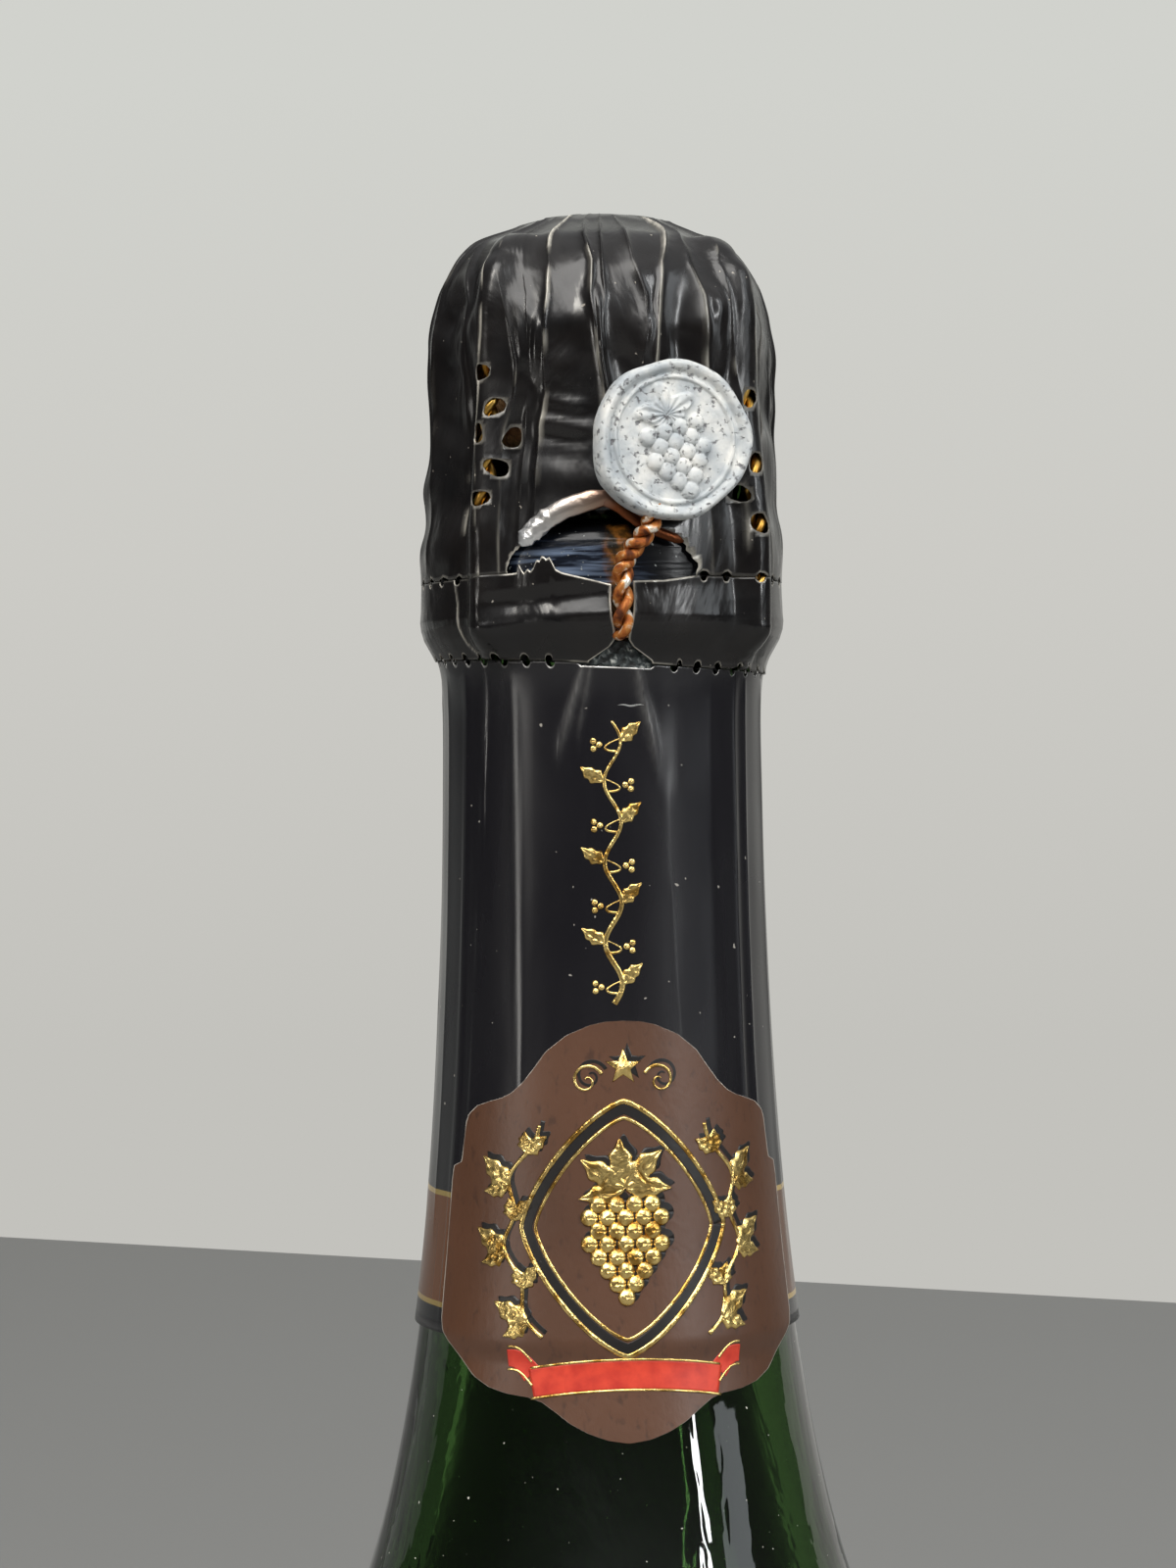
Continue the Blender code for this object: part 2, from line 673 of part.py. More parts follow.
def make_seal(material, collection, cutters):
    """A cast disc with an uneven edge and a raised rim, crimped on the tail."""
    centre = seal_centre()
    side = sideways(SEAL_AZIMUTH_DEG)
    front = outward(SEAL_AZIMUTH_DEG)
    points = [centre - front * SEAL_THICKNESS / 2]
    for radius_share, depth_share in SEAL_RINGS_SHARES:
        for step in range(SEAL_SIDES):
            angle = 2 * math.pi * step / SEAL_SIDES
            waves = sum(size * math.sin(count * angle + start) for count, size, start in SEAL_WAVES_SHARES)
            radius = SEAL_RADIUS * radius_share * (1 + waves)
            around = side * math.cos(angle) + Vector((0, 0, math.sin(angle)))
            points.append(centre + around * radius + front * SEAL_THICKNESS * depth_share)
    points.append(centre + front * SEAL_THICKNESS * SEAL_RINGS_SHARES[-1][1])
    rows = len(SEAL_RINGS_SHARES)
    faces = [tuple(1 + index for index in face) for face in grid_faces(rows, SEAL_SIDES, True)]
    last = 1 + (rows - 1) * SEAL_SIDES
    for step in range(SEAL_SIDES):
        following = (step + 1) % SEAL_SIDES
        faces.append((0, 1 + following, 1 + step))
        faces.append((len(points) - 1, last + step, last + following))
    seal = new_object("seal_disc", mesh_of("seal_disc", points, faces), material, collection)
    cut(seal, slot_cutter(cutters))
    return seal


def slot_cutter(cutters):
    """Flat slot in the seal's lower edge for the tail's two strands."""
    entry, way = seal_entry()
    width = 2 * (PAIR_RADIUS + CLEARANCE)
    height = 2 * (WIRE_RADIUS + CLEARANCE)
    length = SEAL_SLOT_DEPTH + CUT_OVERRUN
    front = outward(SEAL_AZIMUTH_DEG)
    across = way.cross(front)
    middle = entry + way * (SEAL_SLOT_DEPTH - length / 2)
    points = []
    for x, y, z in ((-1, -1, -1), (1, -1, -1), (1, 1, -1), (-1, 1, -1)):
        points.append(middle + across * x * width / 2 + front * y * height / 2 + way * z * length / 2)
    points += [point + way * length for point in points]
    faces = [(3, 2, 1, 0), (4, 5, 6, 7), (0, 1, 5, 4), (1, 2, 6, 5), (2, 3, 7, 6), (3, 0, 4, 7)]
    return hide(new_object("seal_slot_cutter", mesh_of("seal_slot_cutter", points, faces), None, cutters))


def hide(cutter):
    """Marks a cutter, recalculates its faces outwards and keeps it out of the model."""
    shape = bmesh.new()
    shape.from_mesh(cutter.data)
    bmesh.ops.recalc_face_normals(shape, faces=shape.faces)
    shape.to_mesh(cutter.data)
    shape.free()
    cutter.hide_render = True
    cutter.display_type = "WIRE"
    return cutter


def cut(thing, cutter):
    """Takes a cutter's shape out of a piece."""
    difference = thing.modifiers.new("cut", "BOOLEAN")
    difference.operation = "DIFFERENCE"
    difference.solver = "EXACT"
    difference.object = cutter
    return thing


# Foil

def foil_azimuths():
    """Azimuths of the foil's columns: close together at the legs' ridges, even at the pleats."""
    plateau = math.degrees((PAIR_RADIUS + CLEARANCE) / PLATE_RADIUS)
    edge = plateau + RIDGE_SLOPE_DEG
    even = np.linspace(edge, 90 - edge, 2 * PLEATS_PER_QUARTER)
    quarter = [0, plateau] + even.tolist() + [90 - plateau]
    return [leg + azimuth for leg in LEG_AZIMUTHS_DEG for azimuth in quarter]


def ridge_share(azimuth_deg):
    """How far the foil is lifted by the nearest leg: 1 over the leg, 0 away from it."""
    plateau = math.degrees((PAIR_RADIUS + CLEARANCE) / PLATE_RADIUS)
    nearest = min(abs((azimuth_deg - leg + 180) % 360 - 180) for leg in LEG_AZIMUTHS_DEG)
    share = min(max((plateau + RIDGE_SLOPE_DEG - nearest) / RIDGE_SLOPE_DEG, 0), 1)
    return share


def pleat_share(azimuth_deg):
    """Crest or valley of the pleats between two legs, from 1 to -1, and 0 at a leg."""
    plateau = math.degrees((PAIR_RADIUS + CLEARANCE) / PLATE_RADIUS)
    edge = plateau + RIDGE_SLOPE_DEG
    place = (azimuth_deg - LEG_AZIMUTHS_DEG[0]) % 90
    if place < edge or place > 90 - edge:
        return 0
    step = (90 - 2 * edge) / (2 * PLEATS_PER_QUARTER - 1)
    return -math.cos(math.pi * (place - edge) / step)


def ridge_heights(line, normals):
    """How far the foil has to stand off its line to clear a leg's twisted pair and foot."""
    legs, _ = along(leg_line(), 120)
    reach = PAIR_RADIUS + CLEARANCE + FOIL_THICKNESS
    heights = []
    for place, normal in zip(line, normals):
        offsets = legs - place
        beside = np.abs(offsets @ np.array((-normal[1], normal[0])))
        stand = np.where(beside < RIDGE_REACH, offsets @ normal + reach, 0)
        heights.append(max(float(stand.max()), 0))
    return heights


def foil_surface(line, azimuths, pleat_depths):
    """Points of a foil surface: a line of radius and height, ridged at the legs and pleated."""
    line = np.array(line)
    slopes = np.gradient(line, axis=0)
    slopes /= np.linalg.norm(slopes, axis=1)[:, None]
    normals = np.stack((slopes[:, 1], -slopes[:, 0]), axis=1)
    ridges = ridge_heights(line, normals)
    rows = []
    for place, normal, ridge, depth in zip(line, normals, ridges, pleat_depths):
        row = []
        for azimuth in azimuths:
            lift = ridge * ridge_share(azimuth) + depth * pleat_share(azimuth)
            radius = place[0] + normal[0] * lift
            height = place[1] + normal[1] * lift
            row.append(outward(azimuth) * float(radius) + Vector((0, 0, float(height))))
        rows.append(row)
    return rows


def base_radius(kind, height):
    """Radius that a foil row stands on: the collar, the cork's head or the neck."""
    if kind == "collar":
        return COLLAR_RADIUS + CLEARANCE + FOIL_THICKNESS
    if kind == "head":
        return HEAD_RADIUS + CLEARANCE + FOIL_THICKNESS
    return glass_radius(height) - FOIL_THICKNESS


def foil_line(rows):
    """Radius and height of foil rows, each set off from what it stands on."""
    return [(base_radius(kind, LIP_Z + height) + proud, LIP_Z + height) for kind, proud, height in rows]


def make_hood(material, collection, cutters):
    """Pleated foil cap over the cork and cage, with its torn mouth at the front."""
    line = foil_line(HOOD_OUTLINE)
    azimuths = foil_azimuths()
    rows = foil_surface(line, azimuths, [PLEAT_DEPTH * share for share in HOOD_PLEAT_SHARES])
    points = [point for row in rows for point in row]
    points.append(Vector((0, 0, LIP_Z + HOOD_TOP_HEIGHT)))
    columns = len(azimuths)
    faces = grid_faces(len(rows), columns, True)
    last = (len(rows) - 1) * columns
    for column in range(columns):
        following = (column + 1) % columns
        faces.append((last + column, last + following, len(points) - 1))
    hood = new_object("foil_hood", mesh_of("foil_hood", points, faces), material, collection)
    wall(hood, FOIL_THICKNESS)
    cut(hood, mouth_cutter(cutters))
    cut(hood, vent_cutters(cutters))
    return hood


def mouth_cutter(cutters):
    """Prism with the outline of the torn mouth, through the hood's front wall only."""
    rim = LIP_Z - HOOD_RIM_DEPTH
    near = -(COLLAR_SIDE + PAIR_RADIUS + CUT_OVERRUN)
    far = -GROOVE_RADIUS / 2
    outline = []
    for across, up in MOUTH_OUTLINE_SHARES:
        outline.append((MOUTH_OFFSET + MOUTH_WIDTH * across, rim + MOUTH_HEIGHT * up))
    count = len(outline)
    points = [(x, near, z) for x, z in outline] + [(x, far, z) for x, z in outline]
    faces = [tuple(range(count)), tuple(range(2 * count - 1, count - 1, -1))]
    for corner in range(count):
        following = (corner + 1) % count
        faces.append((corner, corner + count, following + count, following))
    return hide(new_object("mouth_cutter", mesh_of("mouth_cutter", points, faces), None, cutters))


def vent_cutters(cutters):
    """Round plugs through the hood's wall for the vent holes over the cage's legs."""
    near = HEAD_RADIUS
    far = COLLAR_SIDE + PAIR_RADIUS + CUT_OVERRUN
    plugs = bmesh.new()
    for leg in LEG_AZIMUTHS_DEG:
        for across, up in VENT_SHARES:
            azimuth = leg + math.degrees(VENT_SPACING * across / HEAD_SIDE)
            height = LIP_Z + VENT_RISE + VENT_PITCH * up
            middle = outward(azimuth) * ((near + far) / 2) + Vector((0, 0, height))
            turn = outward(azimuth).to_track_quat("Z", "Y").to_matrix().to_4x4()
            bmesh.ops.create_cone(
                plugs, cap_ends=True, segments=VENT_SIDES, radius1=VENT_RADIUS, radius2=VENT_RADIUS,
                depth=far - near, matrix=Matrix.Translation(middle) @ turn,
            )
    mesh = bpy.data.meshes.new("vent_cutters")
    plugs.to_mesh(mesh)
    plugs.free()
    return hide(new_object("vent_cutters", mesh, None, cutters))


def make_band(material, collection):
    """Tear band: a strip round the collar, open in a slit where the tail comes out."""
    azimuths = foil_azimuths()
    line = foil_line(BAND_ROWS)[::-1]
    widths = SLIT_HALF_WIDTHS[::-1]
    gap_deg = [math.degrees(width / place[0]) for width, place in zip(widths, line)]
    widest = max(gap_deg)
    between = [a for a in azimuths if widest * 1.2 < (a - TAIL_AZIMUTH_DEG) % 360 < 360 - widest * 1.2]
    between.sort(key=lambda azimuth: (azimuth - TAIL_AZIMUTH_DEG) % 360)
    inner = foil_surface(line, between, [0] * len(line))
    points = []
    for row, place, gap in zip(inner, line, gap_deg):
        for azimuth, part in ((TAIL_AZIMUTH_DEG + gap, "start"), (TAIL_AZIMUTH_DEG - gap, "end")):
            edge = outward(azimuth) * float(place[0]) + Vector((0, 0, float(place[1])))
            if part == "start":
                points.append(edge)
                points += row
            else:
                points.append(edge)
    columns = len(between) + 2
    faces = grid_faces(len(line), columns, False)
    band = new_object("tear_band", mesh_of("tear_band", points, faces), material, collection)
    return wall(band, FOIL_THICKNESS)


def sleeve_radius(height):
    """Outer radius of the neck sleeve at a height."""
    return glass_radius(height) + FOIL_GAP + FOIL_THICKNESS


def make_sleeve(material, collection):
    """Foil sleeve on the neck, from the lower perforation down to the shoulder."""
    heights = np.linspace(LIP_Z - SLEEVE_TOP_DEPTH, SLEEVE_BOTTOM_Z, SLEEVE_ROWS)
    outside = [(sleeve_radius(height), float(height)) for height in heights]
    inside = [(radius - FOIL_THICKNESS, height) for radius, height in outside[::-1]]
    profile = outside + inside + outside[:1]
    return turned("neck_sleeve", profile, material, collection)


def make_label(material, collection):
    """Paper label over the sleeve's lower end and the glass below it."""
    points = []
    for down_share, half_share in LABEL_OUTLINE_SHARES:
        height = LABEL_TOP_Z - LABEL_HEIGHT * down_share
        below = (SLEEVE_BOTTOM_Z - height) / LABEL_STEP_HEIGHT
        step = min(max(below, 0), 1) * (FOIL_GAP + FOIL_THICKNESS)
        radius = sleeve_radius(height) + LABEL_GAP + LABEL_THICKNESS - step
        half = LABEL_HALF_ANGLE_DEG * half_share
        for share in np.linspace(-1, 1, LABEL_COLUMNS + 1):
            azimuth = LABEL_AZIMUTH_DEG + half * float(share)
            points.append(outward(azimuth) * radius + Vector((0, 0, height)))
    rows = len(LABEL_OUTLINE_SHARES)
    faces = [face[::-1] for face in grid_faces(rows, LABEL_COLUMNS + 1, False)]
    label = new_object("neck_label", mesh_of("neck_label", points, faces), material, collection)
    return wall(label, LABEL_THICKNESS)


def print_strand_gaps():
    """Least gap between a cage wire and itself, and between a leg's two strands."""
    line = np.array([tuple(point) for point in cage_wire_line(0)])
    apart = np.linalg.norm(line[:, None] - line[None], axis=2)
    index = np.arange(len(line))
    far = np.abs(index[:, None] - index[None]) > POINTS_PER_TURN
    print("cage wire, least gap to itself:", round(float(apart[far].min()) - 2 * WIRE_RADIUS, 5))
    first = np.array([tuple(point) for point in leg_strand(0, 1)])
    second = np.array([tuple(point) for point in leg_strand(0, -1)])
    between = np.linalg.norm(first[:, None] - second[None], axis=2).min()
    print("leg strands, least gap:", round(float(between) - 2 * WIRE_RADIUS, 5))


def build():
    """Makes every piece and hangs the moving ones on their joints' empties."""
    clear_scene()
    bottle = new_collection("champagne_bottle")
    cutters = new_collection("cutters")
    glass = finish("green_glass", (0.010, 0.040, 0.012), 0.05, transmission=0.4)
    wine = finish("wine", (0.75, 0.60, 0.25), 0.05, transmission=0.8)
    agglomerate = finish("agglomerate_cork", (0.50, 0.32, 0.17), 0.9)
    natural = finish("natural_cork", (0.58, 0.39, 0.22), 0.85)
    plate = finish("gold_lacquered_plate", (0.72, 0.52, 0.18), 0.3, metallic=1.0)
    steel = finish("gold_lacquered_wire", (0.62, 0.45, 0.16), 0.35, metallic=1.0)
    rusty = finish("rusty_wire", (0.35, 0.15, 0.06), 0.7, metallic=0.6)
    lead = finish("cast_lead", (0.33, 0.34, 0.35), 0.75, metallic=0.4)
    foil = finish("black_foil", (0.012, 0.011, 0.012), 0.25)
    satin = finish("black_satin_foil", (0.014, 0.013, 0.015), 0.4)
    paper = finish("brown_paper", (0.10, 0.045, 0.025), 0.7)
    make_glass(glass, bottle)
    make_wine(wine, bottle)
    make_band(foil, bottle)
    make_sleeve(satin, bottle)
    make_label(paper, bottle)
    cork = make_cork(agglomerate, natural, bottle)
    cage = [make_plate(plate, bottle)] + make_cage(steel, bottle) + [make_belt(rusty, bottle)]
    hood = make_hood(foil, bottle, cutters)
    seal = make_tail(rusty, bottle) + [make_seal(lead, bottle, cutters)]
    axis = Vector((0, 0, LIP_Z))
    cork_axis = carry("cork_axis", axis, cork, None, bottle)
    cage_axis = carry("cage_axis", axis, cage, cork_axis, bottle)
    carry("hood_axis", axis, [hood], cage_axis, bottle)
    carry("seal_axis", hinge_place(), seal, cage_axis, bottle)
    for thing in bottle.objects:
        if thing.type == "MESH":
            thing.data.shade_smooth()
            thing.data.set_sharp_from_angle(angle=math.radians(35))
    print_strand_gaps()


build()
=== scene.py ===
import bpy
import numpy as np
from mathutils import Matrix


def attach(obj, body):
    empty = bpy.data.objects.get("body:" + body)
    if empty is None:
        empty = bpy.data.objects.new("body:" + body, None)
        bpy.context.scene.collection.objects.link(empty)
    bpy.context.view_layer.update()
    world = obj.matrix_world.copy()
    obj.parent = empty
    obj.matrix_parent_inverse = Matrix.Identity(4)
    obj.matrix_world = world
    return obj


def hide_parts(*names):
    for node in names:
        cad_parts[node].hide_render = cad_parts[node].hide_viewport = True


# A sealed 75 cl champagne bottle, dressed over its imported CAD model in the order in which
# the real one is put together. Metres, +Z up, and the front faces -Y. An azimuth turns from
# -Y towards +X; it is given in degrees where a name ends in deg.

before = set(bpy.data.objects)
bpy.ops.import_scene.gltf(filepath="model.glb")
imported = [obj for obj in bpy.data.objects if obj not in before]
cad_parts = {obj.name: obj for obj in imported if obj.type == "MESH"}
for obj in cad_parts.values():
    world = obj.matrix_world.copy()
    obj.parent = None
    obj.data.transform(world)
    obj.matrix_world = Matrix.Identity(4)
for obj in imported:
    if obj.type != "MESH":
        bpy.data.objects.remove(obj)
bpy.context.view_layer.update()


# Glass bottle. Dark green moulded glass, 4.5 mm thick, with a deep punt below, and the crown
# and collar at the mouth that the cork and the wire hold on to. One outline of radius and
# height, outside and inside, is carried round the axis.

def around(azimuths, radii, heights):
    """Points at azimuths in radians, at radii from the axis and at heights."""
    azimuths, radii, heights = np.broadcast_arrays(azimuths, radii, heights)
    return np.stack((radii * np.sin(azimuths), -radii * np.cos(azimuths), heights), axis=-1)


def quads(rows, columns, wrapped):
    """Faces between the rows and columns of a grid of points, outwards on rising rows."""
    steps = np.arange(columns if wrapped else columns - 1)
    following = (steps + 1) % columns
    low = np.arange(rows - 1)[:, None] * columns
    high = low + columns
    corners = (low + steps, low + following, high + following, high + steps)
    return np.stack(np.broadcast_arrays(*corners), axis=-1).reshape(-1, 4)


def closed_turn(grid):
    """Closed skin of a grid whose columns go round: a pole closes its first and last rows."""
    rows, columns = grid.shape[:2]
    poles = np.stack((grid[0].mean(axis=0), grid[-1].mean(axis=0)))
    steps = np.arange(columns)
    following = (steps + 1) % columns
    last = (rows - 1) * columns
    start = np.stack((np.full(columns, rows * columns), following, steps), axis=-1)
    end = np.stack((np.full(columns, rows * columns + 1), last + steps, last + following), axis=-1)
    faces = quads(rows, columns, True).tolist() + start.tolist() + end.tolist()
    return np.vstack((grid.reshape(-1, 3), poles)), faces


def full_turn(count):
    """Even angles of a full turn, in radians."""
    return np.linspace(0, 2 * np.pi, count, endpoint=False)


def turned(outline, columns, swell=0.0):
    """Closed skin of revolution of an outline of radii and heights; swell adds to the radii."""
    return closed_turn(around(full_turn(columns), outline[:, :1] + swell, outline[:, 1:]))


def rounded(corners, reach, steps=5):
    """Line whose corners are replaced by parabolas that start and end at a reach from them."""
    corners = np.array(corners, float)
    back = np.roll(corners, 1, axis=0) - corners
    ahead = np.roll(corners, -1, axis=0) - corners
    back /= np.linalg.norm(back, axis=1)[:, None]
    ahead /= np.linalg.norm(ahead, axis=1)[:, None]
    t = np.linspace(0, 1, steps)[None, :, None]
    start = (corners + back * reach)[:, None]
    end = (corners + ahead * reach)[:, None]
    line = (1 - t) ** 2 * start + 2 * t * (1 - t) * corners[:, None] + t**2 * end
    return np.vstack((corners[:1], line[1:-1].reshape(-1, 2), corners[-1:]))


def placed(name, data):
    """New object of some data, linked into the scene."""
    thing = bpy.data.objects.new(name, data)
    bpy.context.scene.collection.objects.link(thing)
    return thing


def piece(name, points, faces, finishes, body, *nodes):
    """Smooth mesh object with its finishes; it rides on a body and stands for CAD nodes."""
    mesh = bpy.data.meshes.new(name)
    mesh.from_pydata(np.reshape(points, (-1, 3)).tolist(), [], np.array(faces, object).tolist())
    mesh.shade_smooth()
    for finish in finishes:
        mesh.materials.append(finish)
    thing = placed(name, mesh)
    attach(thing, body)
    if nodes:
        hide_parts(*nodes)
    return thing


def tone(red, green, blue):
    """Linear colour of a screen colour given from 0 to 255."""
    value = np.array((red, green, blue)) / 255
    linear = np.where(value <= 0.04045, value / 12.92, ((value + 0.055) / 1.055) ** 2.4)
    return (*linear.tolist(), 1)


def grey(value):
    """Linear grey."""
    return (value, value, value, 1)


def fed(node, inputs):
    """A node with its inputs set to values, or linked to the outputs of other nodes."""
    for key, value in inputs.items():
        if isinstance(value, bpy.types.NodeSocket):
            node.id_data.links.new(value, node.inputs[key])
        else:
            node.inputs[key].default_value = value
    return node


def new_finish(name, colour, roughness, metallic=0.0):
    """Material with one Principled shader, given with its node tree and that shader."""
    material = bpy.data.materials.new(name)
    material.use_nodes = True
    shader = material.node_tree.nodes["Principled BSDF"]
    fed(shader, {"Base Color": colour, "Roughness": roughness, "Metallic": metallic})
    return material, material.node_tree, shader


def grain(tree, scale, detail=3.0, stretch=(1, 1, 1), warp=0.0):
    """Noise on Object coordinates, with scale features a metre, stretched along the axes."""
    spot = tree.nodes.new("ShaderNodeTexCoord").outputs["Object"]
    mapping = fed(tree.nodes.new("ShaderNodeMapping"), {"Vector": spot, "Scale": stretch})
    values = {"Vector": mapping.outputs["Vector"], "Scale": scale, "Detail": detail, "Distortion": warp}
    return fed(tree.nodes.new("ShaderNodeTexNoise"), values).outputs["Fac"]


def ramp(tree, value, *stops):
    """Colour ramp over a value; stops are pairs of a place and a colour or a linear grey."""
    node = fed(tree.nodes.new("ShaderNodeValToRGB"), {"Fac": value})
    elements = node.color_ramp.elements
    for place, _ in stops[1:-1]:
        elements.new(place)
    for element, (place, colour) in zip(elements, stops):
        element.position = place
        element.color = colour if isinstance(colour, tuple) else grey(colour)
    return node.outputs["Color"]


def mixed(tree, share, first, second):
    """Mix of two colours or outputs by a share."""
    node = tree.nodes.new("ShaderNodeMix")
    node.data_type = "RGBA"
    return fed(node, {0: share, 6: first, 7: second}).outputs[2]


def relief(tree, shader, height, strength, distance):
    """Bump of a height on a shader's normal."""
    values = {"Height": height, "Strength": strength, "Distance": distance}
    fed(shader, {"Normal": fed(tree.nodes.new("ShaderNodeBump"), values).outputs["Normal"]})


def quarter(centre, size, start_deg, end_deg, count):
    """Points of an ellipse's arc in the plane of radius and height."""
    angles = np.radians(np.linspace(start_deg, end_deg, count))
    return np.stack((centre[0] + size[0] * np.cos(angles), centre[1] + size[1] * np.sin(angles)), 1)


def cubic(points, count):
    """Cubic curve from the first to the last of four points, drawn towards the middle two."""
    t = np.linspace(0, 1, count)[:, None]
    start, early, late, end = points
    return (1 - t) ** 3 * start + 3 * (1 - t) ** 2 * t * early + 3 * (1 - t) * t**2 * late + t**3 * end


def shoulder(count):
    """Radius and height up the shoulder and neck, as one cubic curve."""
    return cubic(np.array(((0.04425, 0.110), (0.04425, 0.20244), (0.0160, 0.14973), (0.0144, 0.2702))), count)


def cavity(inset, count):
    """Radius and height down the inside, from the neck to the floor's middle, set in."""
    neck = shoulder(count)[::-1]
    neck = neck[neck[:, 1] < 0.2615]
    wall = 0.00445 + 0.00055 * (neck[:, 1:] - 0.110) / 0.1602
    side = np.hstack((neck[:, :1] - wall - inset, neck[:, 1:]))
    heel = quarter((0.0318, 0.0160), (0.0080 - inset, 0.0080 - inset), 0, -90, 10)
    share = np.linspace(1, 0.01, 28)[1:, None]
    floor = np.hstack((0.0318 * share, 0.0080 + inset + 0.0320 * np.cos(np.pi / 2 * share)))
    return np.vstack((side, heel, floor))


share = np.linspace(0.01, 1, 30)[:, None]
punt = np.hstack((0.0332 * share, 0.0320 * np.cos(np.pi / 2 * share)))
heel = quarter((0.0362, 0.0100), (0.00805, 0.0100), -90, 0, 14)
side = np.stack((np.full(14, 0.04425), np.linspace(0.0145, 0.1060, 14)), axis=1)
finish_corners = np.array((
    (14.10, 283.0), (14.10, 284.5), (16.20, 284.5), (16.20, 291.4), (15.85, 292.6), (14.90, 293.3),
    (12.90, 293.5), (12.90, 295.4), (14.30, 295.7), (14.30, 300.0), (8.90, 300.0), (8.90, 290.0),
)) / 1000
finish_line = rounded(finish_corners, 0.00065, 6)
bore = np.array(((8.90, 286.0), (8.90, 274.0), (9.40, 262.0))) / 1000
outline = np.vstack((punt, heel, side, shoulder(70), finish_line, bore, cavity(0, 70)))
ripple = 0.00003 * np.sin(3 * full_turn(160) + 1.0) * np.sin(outline[:, 1:] * 170)
glass, tree, shader = new_finish("green_glass", tone(58, 92, 42), 0.02)
facing = fed(tree.nodes.new("ShaderNodeLayerWeight"), {"Blend": 0.35}).outputs["Facing"]
depth_of_green = ramp(tree, facing, (0.15, tone(56, 88, 42)), (0.70, tone(8, 16, 5)))
dust_free = ramp(tree, grain(tree, 2300, 1.0), (0.785, 1.0), (0.800, 0.0))
dusty = mixed(tree, dust_free, tone(196, 194, 184), depth_of_green)
fed(shader, {"Base Color": dusty, "Transmission Weight": dust_free, "IOR": 1.52})
relief(tree, shader, grain(tree, 95, 4.0, (1, 1, 0.4), 0.6), 0.32, 0.0009)
bottle = piece("bottle_glass", *turned(outline, 160, ripple), [glass], "bottle", "glass_bottle")


# Wine. It fills the bottle to 78 mm below the lip, and climbs the glass a little at its edge.

level = 0.2220
wetted = cavity(0.0003, 70)[::-1]
edge = float(np.interp(level, wetted[40:, 1], wetted[40:, 0]))
wetted = wetted[wetted[:, 1] < level - 0.001]
meniscus = np.array(((0.0, 0.0007), (0.0004, 0.0003), (0.0010, 0.0001), (0.0020, 0.0), (0.009, 0.0)))
surface = np.stack((edge - meniscus[:, 0], level + meniscus[:, 1]), axis=1)
gold_wine, tree, shader = new_finish("sparkling_wine", tone(232, 206, 128), 0.0)
fed(shader, {"Transmission Weight": 1.0, "IOR": 1.34})
wine = piece("wine_fill", *turned(np.vstack((wetted, surface)), 96), [gold_wine], "bottle", "wine")


# Cork. The head and upper shank are cork granules glued and moulded in one piece; two discs
# of whole natural cork, glued under it, touch the wine. The head bulges over the lip.

def cells(tree, scale, feature="F1"):
    """Outputs of Voronoi cells on Object coordinates, with scale cells a metre."""
    voronoi = tree.nodes.new("ShaderNodeTexVoronoi")
    voronoi.feature = feature
    spot = tree.nodes.new("ShaderNodeTexCoord").outputs["Object"]
    return fed(voronoi, {"Vector": spot, "Scale": scale}).outputs


granules, tree, shader = new_finish("glued_cork_granules", tone(186, 142, 98), 0.9)
granule = ramp(tree, cells(tree, 620)["Color"], (0.15, tone(150, 104, 66)), (0.5, tone(190, 146, 100)),
               (0.85, tone(214, 176, 130)))
seam = ramp(tree, cells(tree, 620, "DISTANCE_TO_EDGE")["Distance"], (0.0, 0.35), (0.09, 1.0))
speckle = ramp(tree, grain(tree, 2600, 4.0), (0.36, 0.45), (0.48, 1.0))
shade = mixed(tree, speckle, tone(96, 60, 36), granule)
fed(shader, {"Base Color": mixed(tree, seam, tone(112, 72, 44), shade)})
relief(tree, shader, mixed(tree, 0.5, seam, speckle), 0.35, 0.0003)

bark, tree, shader = new_finish("whole_natural_cork", tone(204, 160, 112), 0.85)
rings = grain(tree, 420, 4.0, (1, 0.25, 1), 0.8)
pores = ramp(tree, grain(tree, 900, 3.0, (1, 1, 0.3), 0.3), (0.30, 0.0), (0.38, 1.0))
wood = ramp(tree, rings, (0.3, tone(178, 130, 86)), (0.7, tone(218, 178, 130)))
fed(shader, {"Base Color": mixed(tree, pores, tone(92, 56, 34), wood)})
relief(tree, shader, pores, 0.4, 0.0003)

head_corners = np.array((
    (0.1, 287.3), (8.6, 287.3), (8.6, 300.3), (11.2, 300.3), (13.0, 301.2), (14.4, 303.4),
    (14.8, 306.5), (14.8, 312.2), (14.3, 314.9), (13.0, 317.0), (11.2, 317.9), (0.1, 317.9),
)) / 1000
head_line = rounded(head_corners, 0.0004, 4)
steps = full_turn(120)
dents = 0.00012 * (np.sin(5 * steps + 0.4) + np.sin(11 * steps) * 0.6) - 0.0002
dents = np.where(head_line[:, :1] > 0.0120, dents, 0)
cork = piece("cork_head", *turned(head_line, 120, dents), [granules], "cork", "cork_agglomerate")
for name, top in (("upper", 287.2), ("lower", 281.4)):
    corners = np.array(((0.1, top - 5.7), (8.6, top - 5.7), (8.6, top), (0.1, top))) / 1000
    skin = turned(rounded(corners, 0.0003), 96)
    disc = piece(f"cork_{name}_disc", *skin, [bark], "cork", f"cork_disc_{name}")


# Cap plate. Pressed tin plate with gold lacquer, that keeps the wire from cutting into the
# cork. It has a raised middle with pressed beads, a groove for the ring of wire and a skirt.

